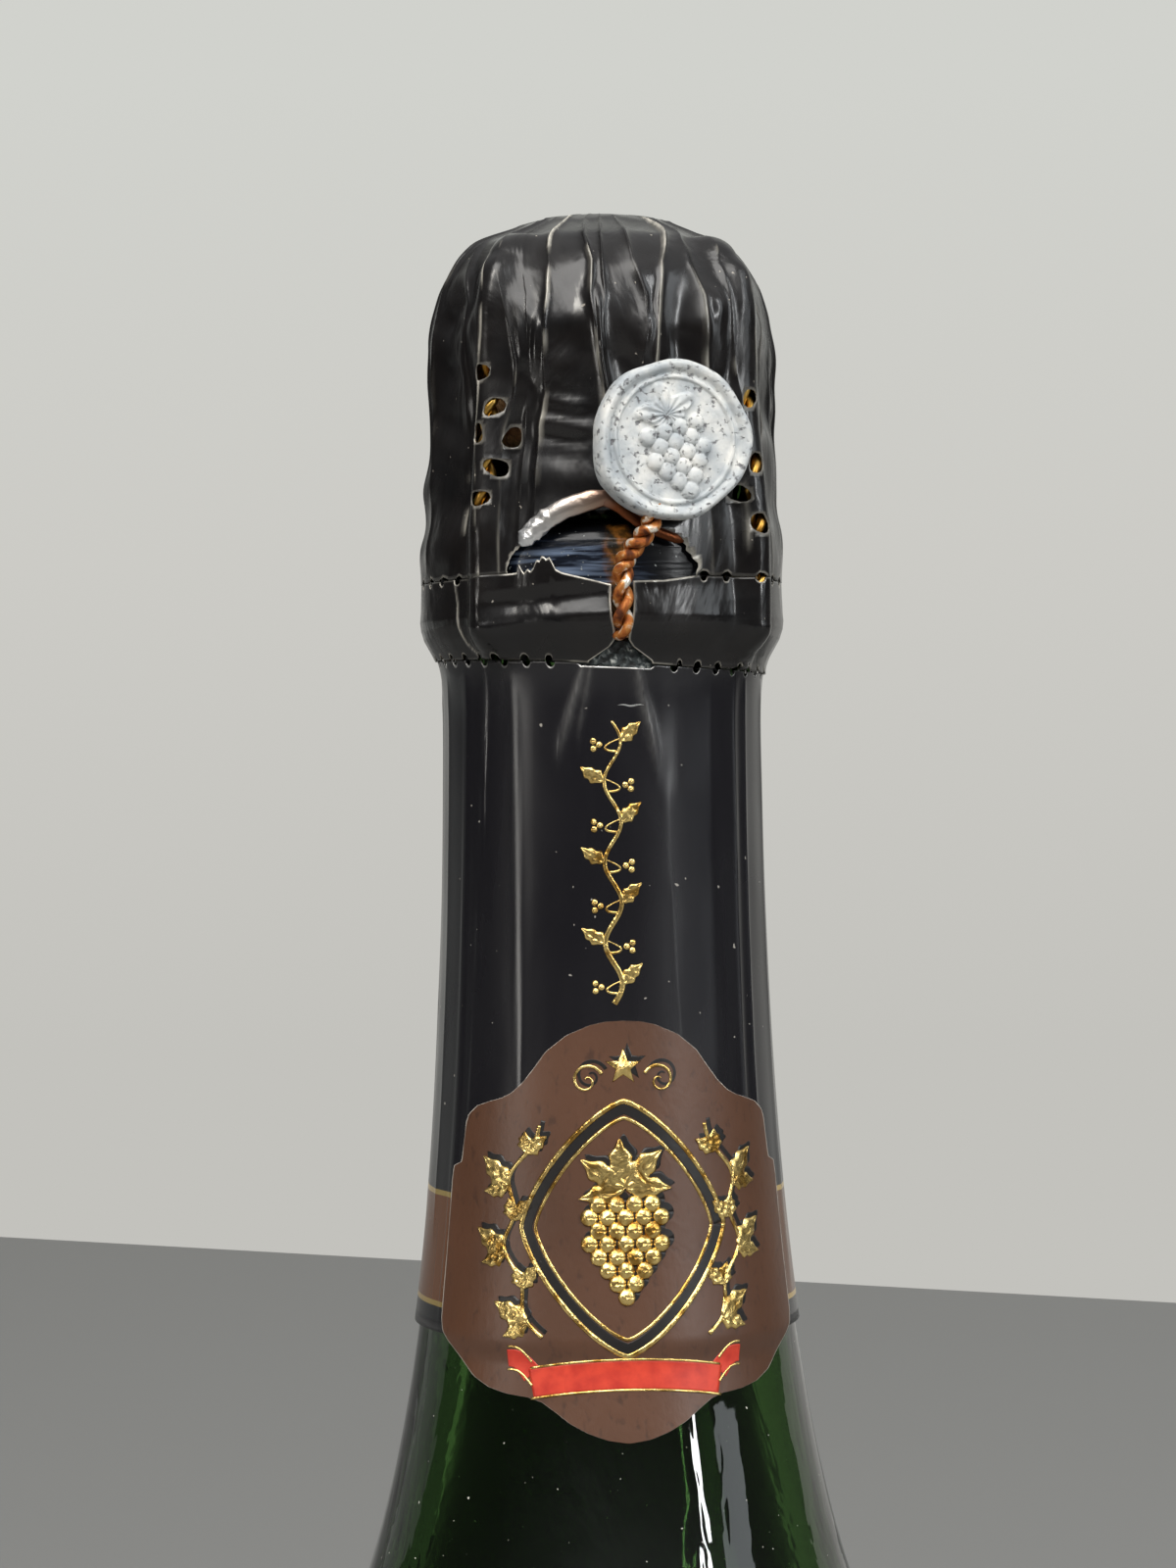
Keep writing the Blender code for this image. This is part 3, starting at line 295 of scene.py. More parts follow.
plate_corners = np.array((
    (12.40, 317.8), (12.40, 318.6), (12.05, 318.8), (11.60, 318.6), (9.60, 318.6), (6.40, 322.1),
    (5.20, 322.5), (3.0, 322.25), (0.1, 322.25),
)) / 1000
plate_top = rounded(plate_corners, 0.00018, 4)
plate_under = plate_top[::-1] - (0, 0.00035)
plate_under[-6:] = (0.01205, 0.3178)
plate_line = np.vstack((plate_under[:-5], plate_top))
on_slope = (plate_line[:, :1] > 0.0060) & (plate_line[:, :1] < 0.0095)
beads = np.where(on_slope, 0.00006 * np.cos(36 * full_turn(144)), 0)
lacquer, tree, shader = new_finish("gold_lacquered_tin", tone(214, 174, 84), 0.28, 1.0)
worn = ramp(tree, grain(tree, 260, 5.0), (0.35, tone(176, 132, 56)), (0.65, tone(226, 188, 104)))
fed(shader, {"Base Color": worn})
relief(tree, shader, grain(tree, 700, 3.0), 0.12, 0.0002)
plate = piece("cap_plate_pressed", *turned(plate_line, 144, beads), [lacquer], "cage", "cap_plate")


# Wire cage. Four steel wires with gold lacquer, twisted in pairs into four legs, lie in one
# ring on the plate. Each wire is a circle carried up one leg, round the ring and down the next.

legs_deg = np.array((53.0, 143.0, 233.0, 323.0))
wire_radius = 0.00045
up = np.array((0, 0, 1.0))


def outward(azimuth_deg):
    """Horizontal unit vector away from the axis."""
    angle = np.radians(azimuth_deg)
    return np.array((np.sin(angle), -np.cos(angle), 0))


def sideways(azimuth_deg):
    """Horizontal unit vector along the tangent, towards a greater azimuth."""
    angle = np.radians(azimuth_deg)
    return np.array((np.cos(angle), np.sin(angle), 0))


def resampled(line, count):
    """A line of points with any number of values each, at even steps along its first three."""
    places = line[:, :3]
    run = np.append(0, np.cumsum(np.linalg.norm(np.diff(places, axis=0), axis=1)))
    even = np.linspace(0, run[-1], count)
    return np.stack([np.interp(even, run, column) for column in line.T], axis=1)


def smoothed(line, window):
    """A line whose points are averaged with their neighbours in a bell-shaped window."""
    kernel = np.hanning(window) / np.hanning(window).sum()
    inner = np.stack([np.convolve(column, kernel, "valid") for column in line.T], axis=1)
    return np.vstack((line[:window // 2], inner, line[-(window // 2):]))


def directions(path):
    """Unit vectors along a path, at each of its points."""
    slopes = np.gradient(path, axis=0)
    return slopes / np.linalg.norm(slopes, axis=1)[:, None]


def rightwards(path):
    """Unit vectors to the right of a flat path, at each of its points."""
    slopes = directions(path)
    return np.stack((slopes[:, 1], -slopes[:, 0]), axis=1)


def tube(line, sides=10):
    """Closed round wire: a circle carried along points with their normals, with domed ends."""
    path, normals = line[:, :3], line[:, 3:]
    tangents = directions(path)
    bend = np.array((1.0, 0.87, 0.5))[:, None] * wire_radius
    path = np.vstack((path[0] - tangents[0] * bend, path, path[-1] + tangents[-1] * bend[::-1]))
    pad = ((3, 3), (0, 0))
    tangents = np.pad(tangents, pad, "edge")
    normals = np.pad(normals, pad, "edge")
    shrink = np.concatenate(((0.05, 0.5, 0.87), np.ones(len(path) - 6), (0.87, 0.5, 0.05))) * wire_radius
    normals = normals - tangents * np.sum(normals * tangents, axis=1)[:, None]
    normals /= np.linalg.norm(normals, axis=1)[:, None]
    across = np.cross(tangents, normals)
    angles = full_turn(sides)[None, :, None]
    ring = normals[:, None] * np.cos(angles) + across[:, None] * np.sin(angles)
    return closed_turn(path[:, None] + ring * shrink[:, None, None])


def leg_line(count):
    """Radius and height of a leg's centre, from the ring to its foot under the collar."""
    bend = quarter((12.85, 312.17), (3.36, 7.18), 90, 0, 12)
    foot = quarter((15.0, 283.6), (2.61, 1.2), 0, -90, 6)
    corners = np.vstack(((11.71, 319.35), bend, (16.21, 306.53), (17.61, 293.3), foot)) / 1000
    return resampled(smoothed(resampled(corners, 160), 9), count)


def leg_strand(azimuth_deg, side):
    """Points and normals of one of a leg's two strands, twisted six times round each other."""
    line = leg_line(150)
    phase = 2 * np.pi * 6 * np.clip((np.linspace(0, 1, 150) - 0.10) / 0.74, 0, 1)
    lift = side * 0.00052 * np.sin(phase)
    across = side * 0.00052 * np.cos(phase)
    normal = -rightwards(line)
    flat = line + normal * lift[:, None]
    out, beside = outward(azimuth_deg), sideways(azimuth_deg)
    path = flat[:, :1] * out + flat[:, 1:] * up + across[:, None] * beside
    return np.hstack((path, normal[:, :1] * out + normal[:, 1:] * up))


def cage_wire(first_deg):
    """Points and normals of a wire: up one leg, round a quarter of the ring, down the next."""
    ring = around(np.radians(np.linspace(first_deg + 10, first_deg + 80, 30)), 0.0106, 0.31935)
    ring = np.hstack((ring, np.tile(up, (30, 1))))
    rising = leg_strand(first_deg, 1)[::-1]
    falling = leg_strand(first_deg + 90, -1)
    return smoothed(resampled(np.vstack((rising, ring, falling)), 420), 7)


gold_wire, tree, shader = new_finish("gold_lacquered_steel_wire", tone(206, 164, 76), 0.3, 1.0)
patina = ramp(tree, grain(tree, 500, 4.0), (0.35, tone(150, 108, 44)), (0.6, tone(216, 176, 92)))
fed(shader, {"Base Color": patina})
relief(tree, shader, grain(tree, 1500, 2.0), 0.1, 0.0001)
for leg, leg_deg in enumerate(legs_deg, 1):
    skin = tube(cage_wire(leg_deg))
    strand = piece(f"cage_wire_{leg}_twisted", *skin, [gold_wire], "cage", f"cage_wire_{leg}")


# Belt wire and tail. A rusted wire runs once round the neck under the collar, through the
# cage's feet. Its two ends are twisted into a tail that comes out of the foil and turns up.

hinge = np.array((0.0018408, -0.0175135, 0.289))
hinge_side = np.array((0.945519, 0.325568, 0))


def twisted_pair(path, turns, sign):
    """Points and normals of one strand of a pair that twists round a path."""
    tangents = directions(path)
    across = hinge_side - tangents * (tangents @ hinge_side)[:, None]
    across /= np.linalg.norm(across, axis=1)[:, None]
    lift = np.cross(tangents, across)
    phase = 2 * np.pi * np.linspace(0.0, turns, len(path))[:, None]
    offset = across * np.cos(phase) + lift * np.sin(phase)
    return np.hstack((path + offset * sign * 0.00050, lift))


root = np.vstack((quarter((16.11, 285.1), (1.5, 1.5), -90, 0, 12), (17.61, 287.0), (17.61, 289.0)))
root = resampled(root / 1000, 40)
root = root[:, :1] * outward(6.0) + root[:, 1:] * up
belt = around(np.radians(np.linspace(11, 361, 220)), 0.0150, 0.2836)
belt = np.hstack((belt, np.tile((0.0, 0.0, -1.0), (220, 1))))
belt_line = np.vstack((twisted_pair(root, 1.5, 1)[::-1], belt, twisted_pair(root, 1.5, -1)))
rust, tree, shader = new_finish("rusty_wire", tone(170, 92, 38), 0.5, 0.45)
flakes = grain(tree, 900, 5.0, (1, 1, 1), 0.4)
colours = ramp(tree, flakes, (0.34, tone(84, 40, 16)), (0.46, tone(158, 86, 32)), (0.56, tone(190, 126, 60)),
               (0.64, tone(234, 228, 214)))
fed(shader, {"Base Color": colours, "Roughness": ramp(tree, flakes, (0.40, 0.75), (0.68, 0.22))})
relief(tree, shader, flakes, 0.35, 0.0002)
skin = tube(resampled(belt_line, 520))
belt_wire = piece("belt_wire_twisted", *skin, [rust], "cage", "belt_wire")

seal_out, seal_side = outward(19.0), sideways(19.0)
seal_middle = seal_out * 0.0189 + up * 0.3005
entry = seal_middle - seal_side * 0.0018 - up * 0.00697
way = (seal_middle - entry) / np.linalg.norm(seal_middle - entry)
rise = np.linalg.norm(entry - hinge) / 3
tail = cubic((hinge, hinge + up * rise, entry - way * rise, entry), 60)
tail = np.vstack((tail, entry + way * np.linspace(0.0002, 0.0030, 12)[:, None]))
for side, sign in (("right", 1), ("left", -1)):
    skin = tube(twisted_pair(tail, 2.5, sign), 12)
    strand = piece(f"tail_strand_{side}", *skin, [rust], "seal", f"seal_tail_{side}")


# Lead seal. A disc cast in a worn mould and crimped on the tail: its edge is uneven, its rim
# stands a little proud, and a bunch of grapes in a thin ring is pressed on its face.

def dome(across, up_face, radius):
    """Height of a half ball of a radius, from 1 at its middle to 0 at its edge."""
    return np.sqrt(np.clip(1 - (across**2 + up_face**2) / radius**2, 0, 1))


def seal_picture(across, up_face):
    """Height in mm of the pressed picture at places on the seal's face, in mm."""
    turn = np.radians(-18)
    u = across * np.cos(turn) - up_face * np.sin(turn)
    v = across * np.sin(turn) + up_face * np.cos(turn)
    height = np.zeros_like(u)
    for row, count in enumerate((4, 3, 4, 3, 2, 1)):
        for seat in range(count):
            middle = (seat - (count - 1) / 2) * 1.56
            height = np.maximum(height, 0.60 * dome(u - middle, v - 0.9 + row * 1.12, 0.80) ** 0.7)
    angle = np.arctan2(v - 2.3, u)
    reach = 2.45 * (1 + 0.28 * np.cos(5 * (angle - np.pi / 2))) * np.where(v > 1.6, 1, 0.55)
    spread = np.hypot(u, v - 2.3) / reach
    leaf = np.clip((1 - spread) * 7, 0, 1) * (0.32 + 0.07 * np.cos(15 * angle))
    height = np.maximum(height, leaf)
    ring = np.exp(-(((np.hypot(u, v) - 5.55) / 0.20) ** 4))
    return np.maximum(height, 0.22 * ring)


def wave_noise(u, v, seed, octaves=3):
    """Smooth noise of about -1 to 1: sums of sines in turned directions."""
    draws = np.random.default_rng(seed)
    total = np.zeros(np.broadcast(u, v).shape)
    for octave in range(octaves):
        for _ in range(4):
            angle, phase = draws.uniform(0, 2 * np.pi, 2)
            wave = 2**octave * draws.uniform(0.7, 1.4)
            total += np.sin(wave * (u * np.cos(angle) + v * np.sin(angle)) + phase) / (2.6 * 1.6**octave)
    return total / octaves


angles = full_turn(200)
edge_wave = 0.022 * np.sin(2 * angles + 0.6) + 0.012 * np.sin(3 * angles + 2.1)
edge_wave += 0.016 * np.sin(5 * angles + 1.9) + 0.008 * np.sin(9 * angles + 0.3)
edge_wave += 0.006 * wave_noise(3 * np.cos(angles) * 6, 3 * np.sin(angles) * 6, 5)
face_shares = np.linspace(0.83, 0.02, 90)
back_and_rim = np.array((
    (0.05, -0.50), (0.60, -0.50), (0.90, -0.49), (0.96, -0.42), (0.99, -0.28), (1.0, -0.04), (1.0, 0.2),
    (0.985, 0.38), (0.955, 0.485), (0.93, 0.50), (0.885, 0.47), (0.86, 0.40), (0.84, 0.345),
))
rings = np.vstack((back_and_rim, np.stack((face_shares, np.full(90, 0.33)), axis=1)))
radius = 0.0072 * rings[:, :1] * (1 + edge_wave * np.clip(rings[:, :1] * 1.6 - 0.6, 0, 1))
across, rise = radius * np.cos(angles), radius * np.sin(angles)
on_face = np.clip((0.86 - rings[:, :1]) * 40, 0, 1) * (np.arange(len(rings))[:, None] > 9)
depth = 0.0028 * rings[:, 1:] + on_face * seal_picture(across * 1000, rise * 1000) * 0.001
depth += 0.00007 * wave_noise(across * 900, rise * 900, 11) * (rings[:, 1:] > 0)
grid = seal_middle + across[..., None] * seal_side + rise[..., None] * up + depth[..., None] * seal_out
lead, tree, shader = new_finish("cast_lead", tone(182, 184, 184), 0.74, 0.1)
oxide = ramp(tree, grain(tree, 420, 6.0), (0.34, tone(170, 176, 180)), (0.5, tone(197, 200, 200)),
             (0.68, tone(224, 223, 218)))
pits = ramp(tree, grain(tree, 1900, 3.0), (0.30, 0.0), (0.42, 1.0))
fed(shader, {"Base Color": mixed(tree, pits, tone(120, 120, 122), oxide)})
relief(tree, shader, mixed(tree, 0.5, pits, grain(tree, 1300, 6.0)), 0.75, 0.00030)
seal = piece("seal_cast", *closed_turn(grid), [lead], "seal", "seal_disc")


# Neck sleeve. Satin black printed foil, glued round the neck. Its top edge is a torn row of
# perforations, it has soft upright folds, and a brown band with gold lines is printed low down.

def smooth_step(value):
    """Rises smoothly from 0 at 0 to 1 at 1."""
    value = np.clip(value, 0, 1)
    return value * value * (3 - 2 * value)


def nearest_turn(azimuth_deg, other_deg):
    """Signed angle from one azimuth to another, between -180 and 180 degrees."""
    return np.mod(azimuth_deg - other_deg + 180, 360) - 180


def neck_radius(height):
    """Outer radius of the glass at a height on the neck or shoulder."""
    line = shoulder(300)
    return np.interp(height, np.append(line[:, 1], 0.2845), np.append(line[:, 0], 0.0141))


def fold_lines(azimuth_deg, height, folds):
    """Sum of folds: each has its azimuth at the top and bottom, size, width and end heights."""
    total = np.zeros(np.broadcast(azimuth_deg, height).shape)
    for top_deg, low_deg, size, width_deg, top, low in folds:
        share = np.clip((height - low) / (top - low), 0, 1)
        offset = nearest_turn(azimuth_deg, low_deg + (top_deg - low_deg) * share)
        window = smooth_step((height - low) / 0.006 + 0.5) * smooth_step((top - height) / 0.003 + 0.5)
        total += size * np.exp(-np.abs(offset) / width_deg) * window
    return total


sleeve_folds = [
    (-56.6, -59.1, 0.00022, 1.0, 0.2800, 0.2225), (-33.0, -28.0, 0.00016, 3.0, 0.2795, 0.2350),
    (-6.5, -15.5, 0.00026, 1.3, 0.2809, 0.2735), (-4.0, -8.5, 0.00020, 0.8, 0.2809, 0.2750),
    (11.5, 18.5, 0.00026, 1.5, 0.2808, 0.2725), (3.0, 4.0, -0.00014, 3.0, 0.2800, 0.2740),
    (22.0, 27.0, 0.00008, 4.0, 0.2700, 0.2400), (-45.0, -51.0, 0.00013, 0.5, 0.2806, 0.2400),
    (41.0, 39.0, 0.00010, 2.6, 0.2780, 0.2420), (53.6, 51.8, 0.00018, 0.9, 0.2795, 0.2300),
    (60.5, 58.0, 0.00018, 1.1, 0.2790, 0.2260), (-72.0, -70.0, 0.00014, 2.6, 0.2790, 0.2300),
    (78.0, 75.0, 0.00016, 2.0, 0.2790, 0.2240), (98.0, 104.0, 0.00014, 2.6, 0.2790, 0.2240),
    (126.0, 120.0, 0.00016, 3.0, 0.2790, 0.2300), (147.0, 150.0, 0.00016, 1.6, 0.2790, 0.2300),
    (171.0, 166.0, 0.00012, 3.0, 0.2790, 0.2260), (196.0, 199.0, 0.00018, 1.4, 0.2790, 0.2240),
    (222.0, 216.0, 0.00014, 2.6, 0.2790, 0.2300), (246.0, 251.0, 0.00014, 2.6, 0.2790, 0.2240),
    (270.0, 267.0, 0.00016, 1.6, 0.2790, 0.2300),
]


def sleeve_radius(azimuth_deg, height):
    """Outer radius of the sleeve: the neck's, the foil's own folds and its flare at the top."""
    flare = 0.00062 * np.exp((height - 0.2812) / 0.0022)
    soft = 0.00004 * wave_noise(azimuth_deg / 16, height * 90, 3)
    return neck_radius(height) + 0.00048 + flare + soft + fold_lines(azimuth_deg, height, sleeve_folds)


def tear_height(azimuth_deg):
    """Height of the lower row of perforations, which dips towards the right."""
    return 0.2810 - 0.0007 * np.sin(np.radians(azimuth_deg))


def bites(azimuth_deg, holes_deg, half_width_deg, half_height):
    """How far the round holes of a row of perforations reach into an edge."""
    offsets = np.abs(nearest_turn(azimuth_deg[:, None], holes_deg)).min(axis=1)
    return half_height * np.sqrt(np.clip(1 - (offsets / half_width_deg) ** 2, 0, 1))


def foil_columns(count, holes_deg, half_width_deg, *more_deg):
    """Azimuths of a foil's columns: even ones, nine across each hole, and more where asked."""
    across = np.array((-1, -0.94, -0.75, -0.4, 0, 0.4, 0.75, 0.94, 1)) * half_width_deg
    at_holes = (holes_deg[:, None] + across).ravel()
    azimuths = np.concatenate((np.arange(count) * 360 / count, at_holes, *more_deg))
    return np.unique(np.round(np.mod(azimuths, 360), 2))


def walled(thing, thickness, cut_edge=1):
    """Gives a sheet its wall, inwards, with the second finish inside and one for its cut edge."""
    solid = thing.modifiers.new("wall", "SOLIDIFY")
    solid.thickness = thickness
    solid.offset = -1
    solid.material_offset = 1
    solid.material_offset_rim = cut_edge


def with_wear(thing, wear):
    """Stores a share of wear or stain at each point of a piece, for its finish to read; on foil crests the
    share is partly a painted highlight.
    """
    values = thing.data.attributes.new("wear", "FLOAT", "POINT").data
    values.foreach_set("value", np.ravel(wear).astype(np.float32))


def stored_wear(tree):
    """Output of the share stored at a piece's points: wear, stain, and on foil crests a painted highlight."""
    attribute = tree.nodes.new("ShaderNodeAttribute")
    attribute.attribute_name = "wear"
    return attribute.outputs["Fac"]


def combined(tree, operation, first, second):
    """Output of a Math node on two values."""
    node = tree.nodes.new("ShaderNodeMath")
    node.operation = operation
    return fed(node, {0: first, 1: second}).outputs["Value"]


def worn_share(tree, *stops):
    """Wear of a foil or paper, broken up by fine scuffs; on foil crests it is partly a painted highlight."""
    scuffs = ramp(tree, grain(tree, 900, 4.0, (1, 1, 0.4)), *stops)
    return combined(tree, "MULTIPLY", stored_wear(tree), scuffs)


def way_along(tree, axis, start, end, least=0.0, space="Object"):
    """Share of the way along an axis: the least value at its start, and 1 at its end."""
    spot = tree.nodes.new("ShaderNodeTexCoord").outputs[space]
    parts = fed(tree.nodes.new("ShaderNodeSeparateXYZ"), {"Vector": spot})
    values = {"Value": parts.outputs[axis], "From Min": start, "From Max": end, "To Min": least}
    return fed(tree.nodes.new("ShaderNodeMapRange"), values).outputs["Result"]


low_holes = 25.1 + 8.805 * np.arange(37)
columns = foil_columns(200, low_holes, 1.6, np.arange(-18.0, 21.0, 0.75))
slit_share = smooth_step((13.5 - np.abs(nearest_turn(columns, 4.6))) / 1.5)
top_edge = tear_height(columns) - 0.00003 - bites(columns, low_holes, 1.6, 0.00052) - 0.0003 * slit_share
rows = np.append(np.linspace(0, 0.985, 62), (0.990, 0.994, 0.9975, 1.0))[:, None]
heights = 0.2205 + (0.2806 - 0.2205) * rows + (top_edge - 0.2806) * rows**60
grid = around(np.radians(columns), sleeve_radius(columns[None, :], heights), heights)
print_black, tree, shader = new_finish("satin_black_foil", tone(22, 21, 25), 0.34)
up_print = way_along(tree, "Z", 0.220, 0.240)
printed = ramp(tree, up_print, (0.0, tone(18, 17, 20)), (0.135, tone(214, 184, 116)),
               (0.160, tone(92, 58, 36)), (0.630, tone(214, 184, 116)), (0.655, tone(20, 19, 23)))
gilded = ramp(tree, up_print, (0.0, 0.0), (0.135, 0.9), (0.160, 0.0), (0.630, 0.9), (0.655, 0.0))
for socket in (printed, gilded):
    socket.node.color_ramp.interpolation = "CONSTANT"
# Stored wear makes the foil pale and metallic: bare foil at the torn edges, and a painted highlight along the
# folds from the slit.
worn = worn_share(tree, (0.30, 0.2), (0.55, 1.0))
dust = ramp(tree, grain(tree, 1500, 1.0), (0.790, 0.0), (0.805, 1.0))
dusty = mixed(tree, dust, printed, tone(150, 146, 138))
mottle = ramp(tree, grain(tree, 130, 4.0, (1, 1, 0.3), 0.5), (0.35, 0.19), (0.65, 0.29))
fed(shader, {"Base Color": mixed(tree, worn, dusty, tone(226, 224, 220)), "Roughness": mottle,
             "Metallic": combined(tree, "MAXIMUM", gilded, worn), "Specular IOR Level": 0.5})
relief(tree, shader, grain(tree, 60, 3.0, (1, 1, 0.35), 0.4), 0.35, 0.0006)
bare, tree, shader = new_finish("bare_aluminium", tone(222, 222, 220), 0.32, 1.0)
relief(tree, shader, grain(tree, 1800, 3.0), 0.3, 0.0001)
faces = quads(len(rows), len(columns), True)
sleeve = piece("sleeve_foil", grid, faces, [print_black, bare], "bottle", "neck_sleeve")
# Pale lines on the crests of the three folds from the slit are a painted highlight; the torn top edge and the
# slit's edge show bare foil.
fold_crests = fold_lines(columns[None, :], heights, sleeve_folds[2:5]) / 0.00026
sleeve_highlight_and_wear = 0.16 * np.clip(fold_crests, 0, None) ** 1.6
sleeve_highlight_and_wear[-1] += 0.12 + 0.5 * bites(columns, low_holes, 1.6, 1.0) + 0.7 * slit_share
with_wear(sleeve, np.clip(sleeve_highlight_and_wear, 0, 1))
walled(sleeve, 0.00014, 0)


# Gold sprig on the sleeve. A vine shoot stamped in gold leaf, slightly raised, with leaves
# and berries at its bends. Flat shapes are worked out in mm and laid on the foil.

def merged(parts):
    """One mesh of several: their points and faces in turn."""
    counts = np.cumsum([0] + [len(points) for points, _ in parts[:-1]])
    points = np.vstack([points for points, _ in parts])
    faces = [[corner + start for corner in face] for (_, some), start in zip(parts, counts) for face in some]
    return points, faces


def strip(path, width, height, flat=False):
    """Sheet along a flat path, as a grid of across, up and lift in mm: half-round, or flat."""
    across = np.array((-1.0, -0.85, -0.5, 0.0, 0.5, 0.85, 1.0))
    width = np.broadcast_to(width, len(path))
    places = path[:, None] + rightwards(path)[:, None] * (across[None, :, None] * width[:, None, None] / 2)
    lift = height if flat else height * np.sqrt(1 - across**2 * 0.999) - 0.02
    return np.dstack((places, np.broadcast_to(lift, places.shape[:2])))


def blade(base, angle_deg, length, width, height):
    """Pointed leaf from its base, as a grid of across, up and lift in mm, with a vein."""
    t = np.linspace(0.0, 1, 20)[:, None]
    s = np.linspace(-1, 1, 9)[None, :]
    half = width / 2 * np.sin(np.pi * t**0.75) ** 0.9 * (1 + 0.16 * np.cos(2 * np.pi * 3 * t)) + 0.02
    along, beside = length * t, half * s + 0.10 * length * np.sin(np.pi * t / 2)
    angle = np.radians(angle_deg)
    u = base[0] + along * np.cos(angle) - beside * np.sin(angle)
    v = base[1] + along * np.sin(angle) + beside * np.cos(angle)
    ribs = 0.25 * np.cos(2 * np.pi * (t * 4 - np.abs(s) * 0.8))
    lift = height * (1 - s**4) * (0.75 - 0.35 * np.exp(-((s / 0.14) ** 2)) + ribs * 0.5) - 0.02
    return np.dstack((u, v, lift))


def berry(middle, radius, height, flat=False):
    """Round berry, as a grid of across, up and lift in mm, from its edge to its top."""
    angles = np.linspace(0, 2 * np.pi, 17)[None, :]
    reach = radius * np.cos(np.linspace(0, 0.5 * np.pi * 0.98, 6))[:, None]
    lift = height if flat else height * np.sqrt(1 - (reach / radius) ** 2 * 0.999) - 0.02
    u, v = middle[0] + reach * np.cos(angles), middle[1] + reach * np.sin(angles)
    return np.dstack(np.broadcast_arrays(u, v, lift))


def laid(grids, azimuth_deg, height, radius_at):
    """Points and faces of flat grids in mm laid round the bottle at a place on its surface."""
    parts = []
    for grid in grids:
        v = height + grid[..., 1] / 1000
        turn = np.degrees(grid[..., 0] / 1000 / radius_at(azimuth_deg, v))
        radius = radius_at(azimuth_deg + turn, v) + grid[..., 2] / 1000
        points = around(np.radians(azimuth_deg + turn), radius, v)
        faces = quads(*turn.shape, False)
        row, column = turn.shape[0] // 2, turn.shape[1] // 2
        middle = points[row, column]
        facing = np.cross(points[row, column + 1] - middle, points[row + 1, column] - middle)
        if facing @ (middle * (1, 1, 0)) < 0:
            faces = faces[:, ::-1]
        parts.append((points.reshape(-1, 3), faces.tolist()))
    return merged(parts)


gold_leaf, tree, shader = new_finish("stamped_gold_leaf", tone(232, 200, 124), 0.26, 1.0)
foil_grain = grain(tree, 520, 4.0, (1, 1, 1), 0.8)
gilt = ramp(tree, foil_grain, (0.36, tone(168, 128, 60)), (0.55, tone(236, 206, 132)))
fed(shader, {"Base Color": gilt})
relief(tree, shader, foil_grain, 0.8, 0.00035)
t = np.linspace(0, 1, 160)
shoot = np.stack((0.75 * np.sin(t * 2 * np.pi * 3.5), -12.6 + 25.2 * t), axis=1)
sprig = [strip(shoot, 0.55 * (1 - 0.5 * t), 0.13)]
tip = np.linspace(0, 1, 30)
for bend in range(7):
    bend_mm = -12.6 + 25.2 * (bend + 0.5) / 7
    side = 1 if bend % 2 == 0 else -1
    sprig.append(blade((0.75 * side, bend_mm), 90 - side * 52, 2.5, 1.35, 0.16))
    curl_u = 0.75 * side - side * (0.4 + 1.0 * np.sin(tip * 3.6))
    curl_v = bend_mm - 0.9 + 1.5 * (1 - np.cos(tip * 2.2)) / 2
    sprig.append(strip(np.stack((curl_u, curl_v), 1), 0.28 * (1 - 0.6 * tip), 0.09))
    for beyond, above in ((0, 0), (0.55, 0.32), (0.52, -0.36)):
        sprig.append(berry((-side * (1.15 + beyond), bend_mm - 0.3 + above), 0.30, 0.16))
stamped = piece("sleeve_sprig", *laid(sprig, 3.0, 0.2632, sleeve_radius), [gold_leaf, gold_leaf], "bottle")
walled(stamped, 0.00004)
t = np.linspace(0, 1, 24)
scratch_line = np.stack((-1.15 + 2.3 * t, 0.06 * np.sin(t * 9)), axis=1)
scratch = laid([strip(scratch_line, 0.14 * np.sin(np.pi * t) + 0.01, 0.02, True)], 9.5, 0.2772, sleeve_radius)
scraped = piece("sleeve_scratch", *scratch, [bare, bare], "bottle")
walled(scraped, 0.00002)


# Tear band. The strip of glossy foil between the two rows of perforations, pressed over the
# glass collar. It is slit at the front, where the tail comes out, and shows torn holes.

slit_deg = 6.0
slit_half_deg = 4.3


def ridge_lift(line):
    """How far foil at a line of radius and height has to stand off it to clear a leg's pair."""
    normal = rightwards(line)
    offsets = leg_line(240)[None] - line[:, None]
    beside = np.abs(offsets[..., 0] * -normal[:, None, 1] + offsets[..., 1] * normal[:, None, 0])
    reach = 0.00064 + 0.00052 * smooth_step((np.linspace(0, 1, 240) - 0.09) / 0.05)
    stand = np.sum(offsets * normal[:, None], axis=2) + reach - beside**2 * 320
    return np.clip(np.where(beside < 0.0018, stand, 0).max(axis=1), 0, None)


def ridge_shape(azimuth_deg, radius, half_width=0.00172):
    """Cross-section of the foil over the nearest leg, from 1 on its crest to 0 beside it."""
    offset = np.abs(nearest_turn(np.asarray(azimuth_deg)[..., None], legs_deg)).min(axis=-1)
    return np.exp(-(np.radians(offset) * radius / half_width) ** 2.6)


def upper_tear(azimuth_deg):
    """Height of the upper tear: it climbs to the left of the mouth, and runs level elsewhere."""
    places = (-180, -40, -30, -26.6, -26, -25.2, -24.4, -23.2, -22.2, -21.2, -20.2, -19.2, -18.4, -17.2,
              -16.2, -14.9, -14.2, 1.5, 8.5, 20, 30, 180)
    heights = (288.75, 288.75, 289.0, 289.1, 289.8, 289.3, 289.0, 289.4, 289.15, 289.5, 290.2, 290.1, 290.6,
               290.2, 290.4, 289.7, 289.15, 287.9, 288.2, 288.3, 288.75, 288.75)
    return np.interp(nearest_turn(azimuth_deg, 0), places, heights) / 1000


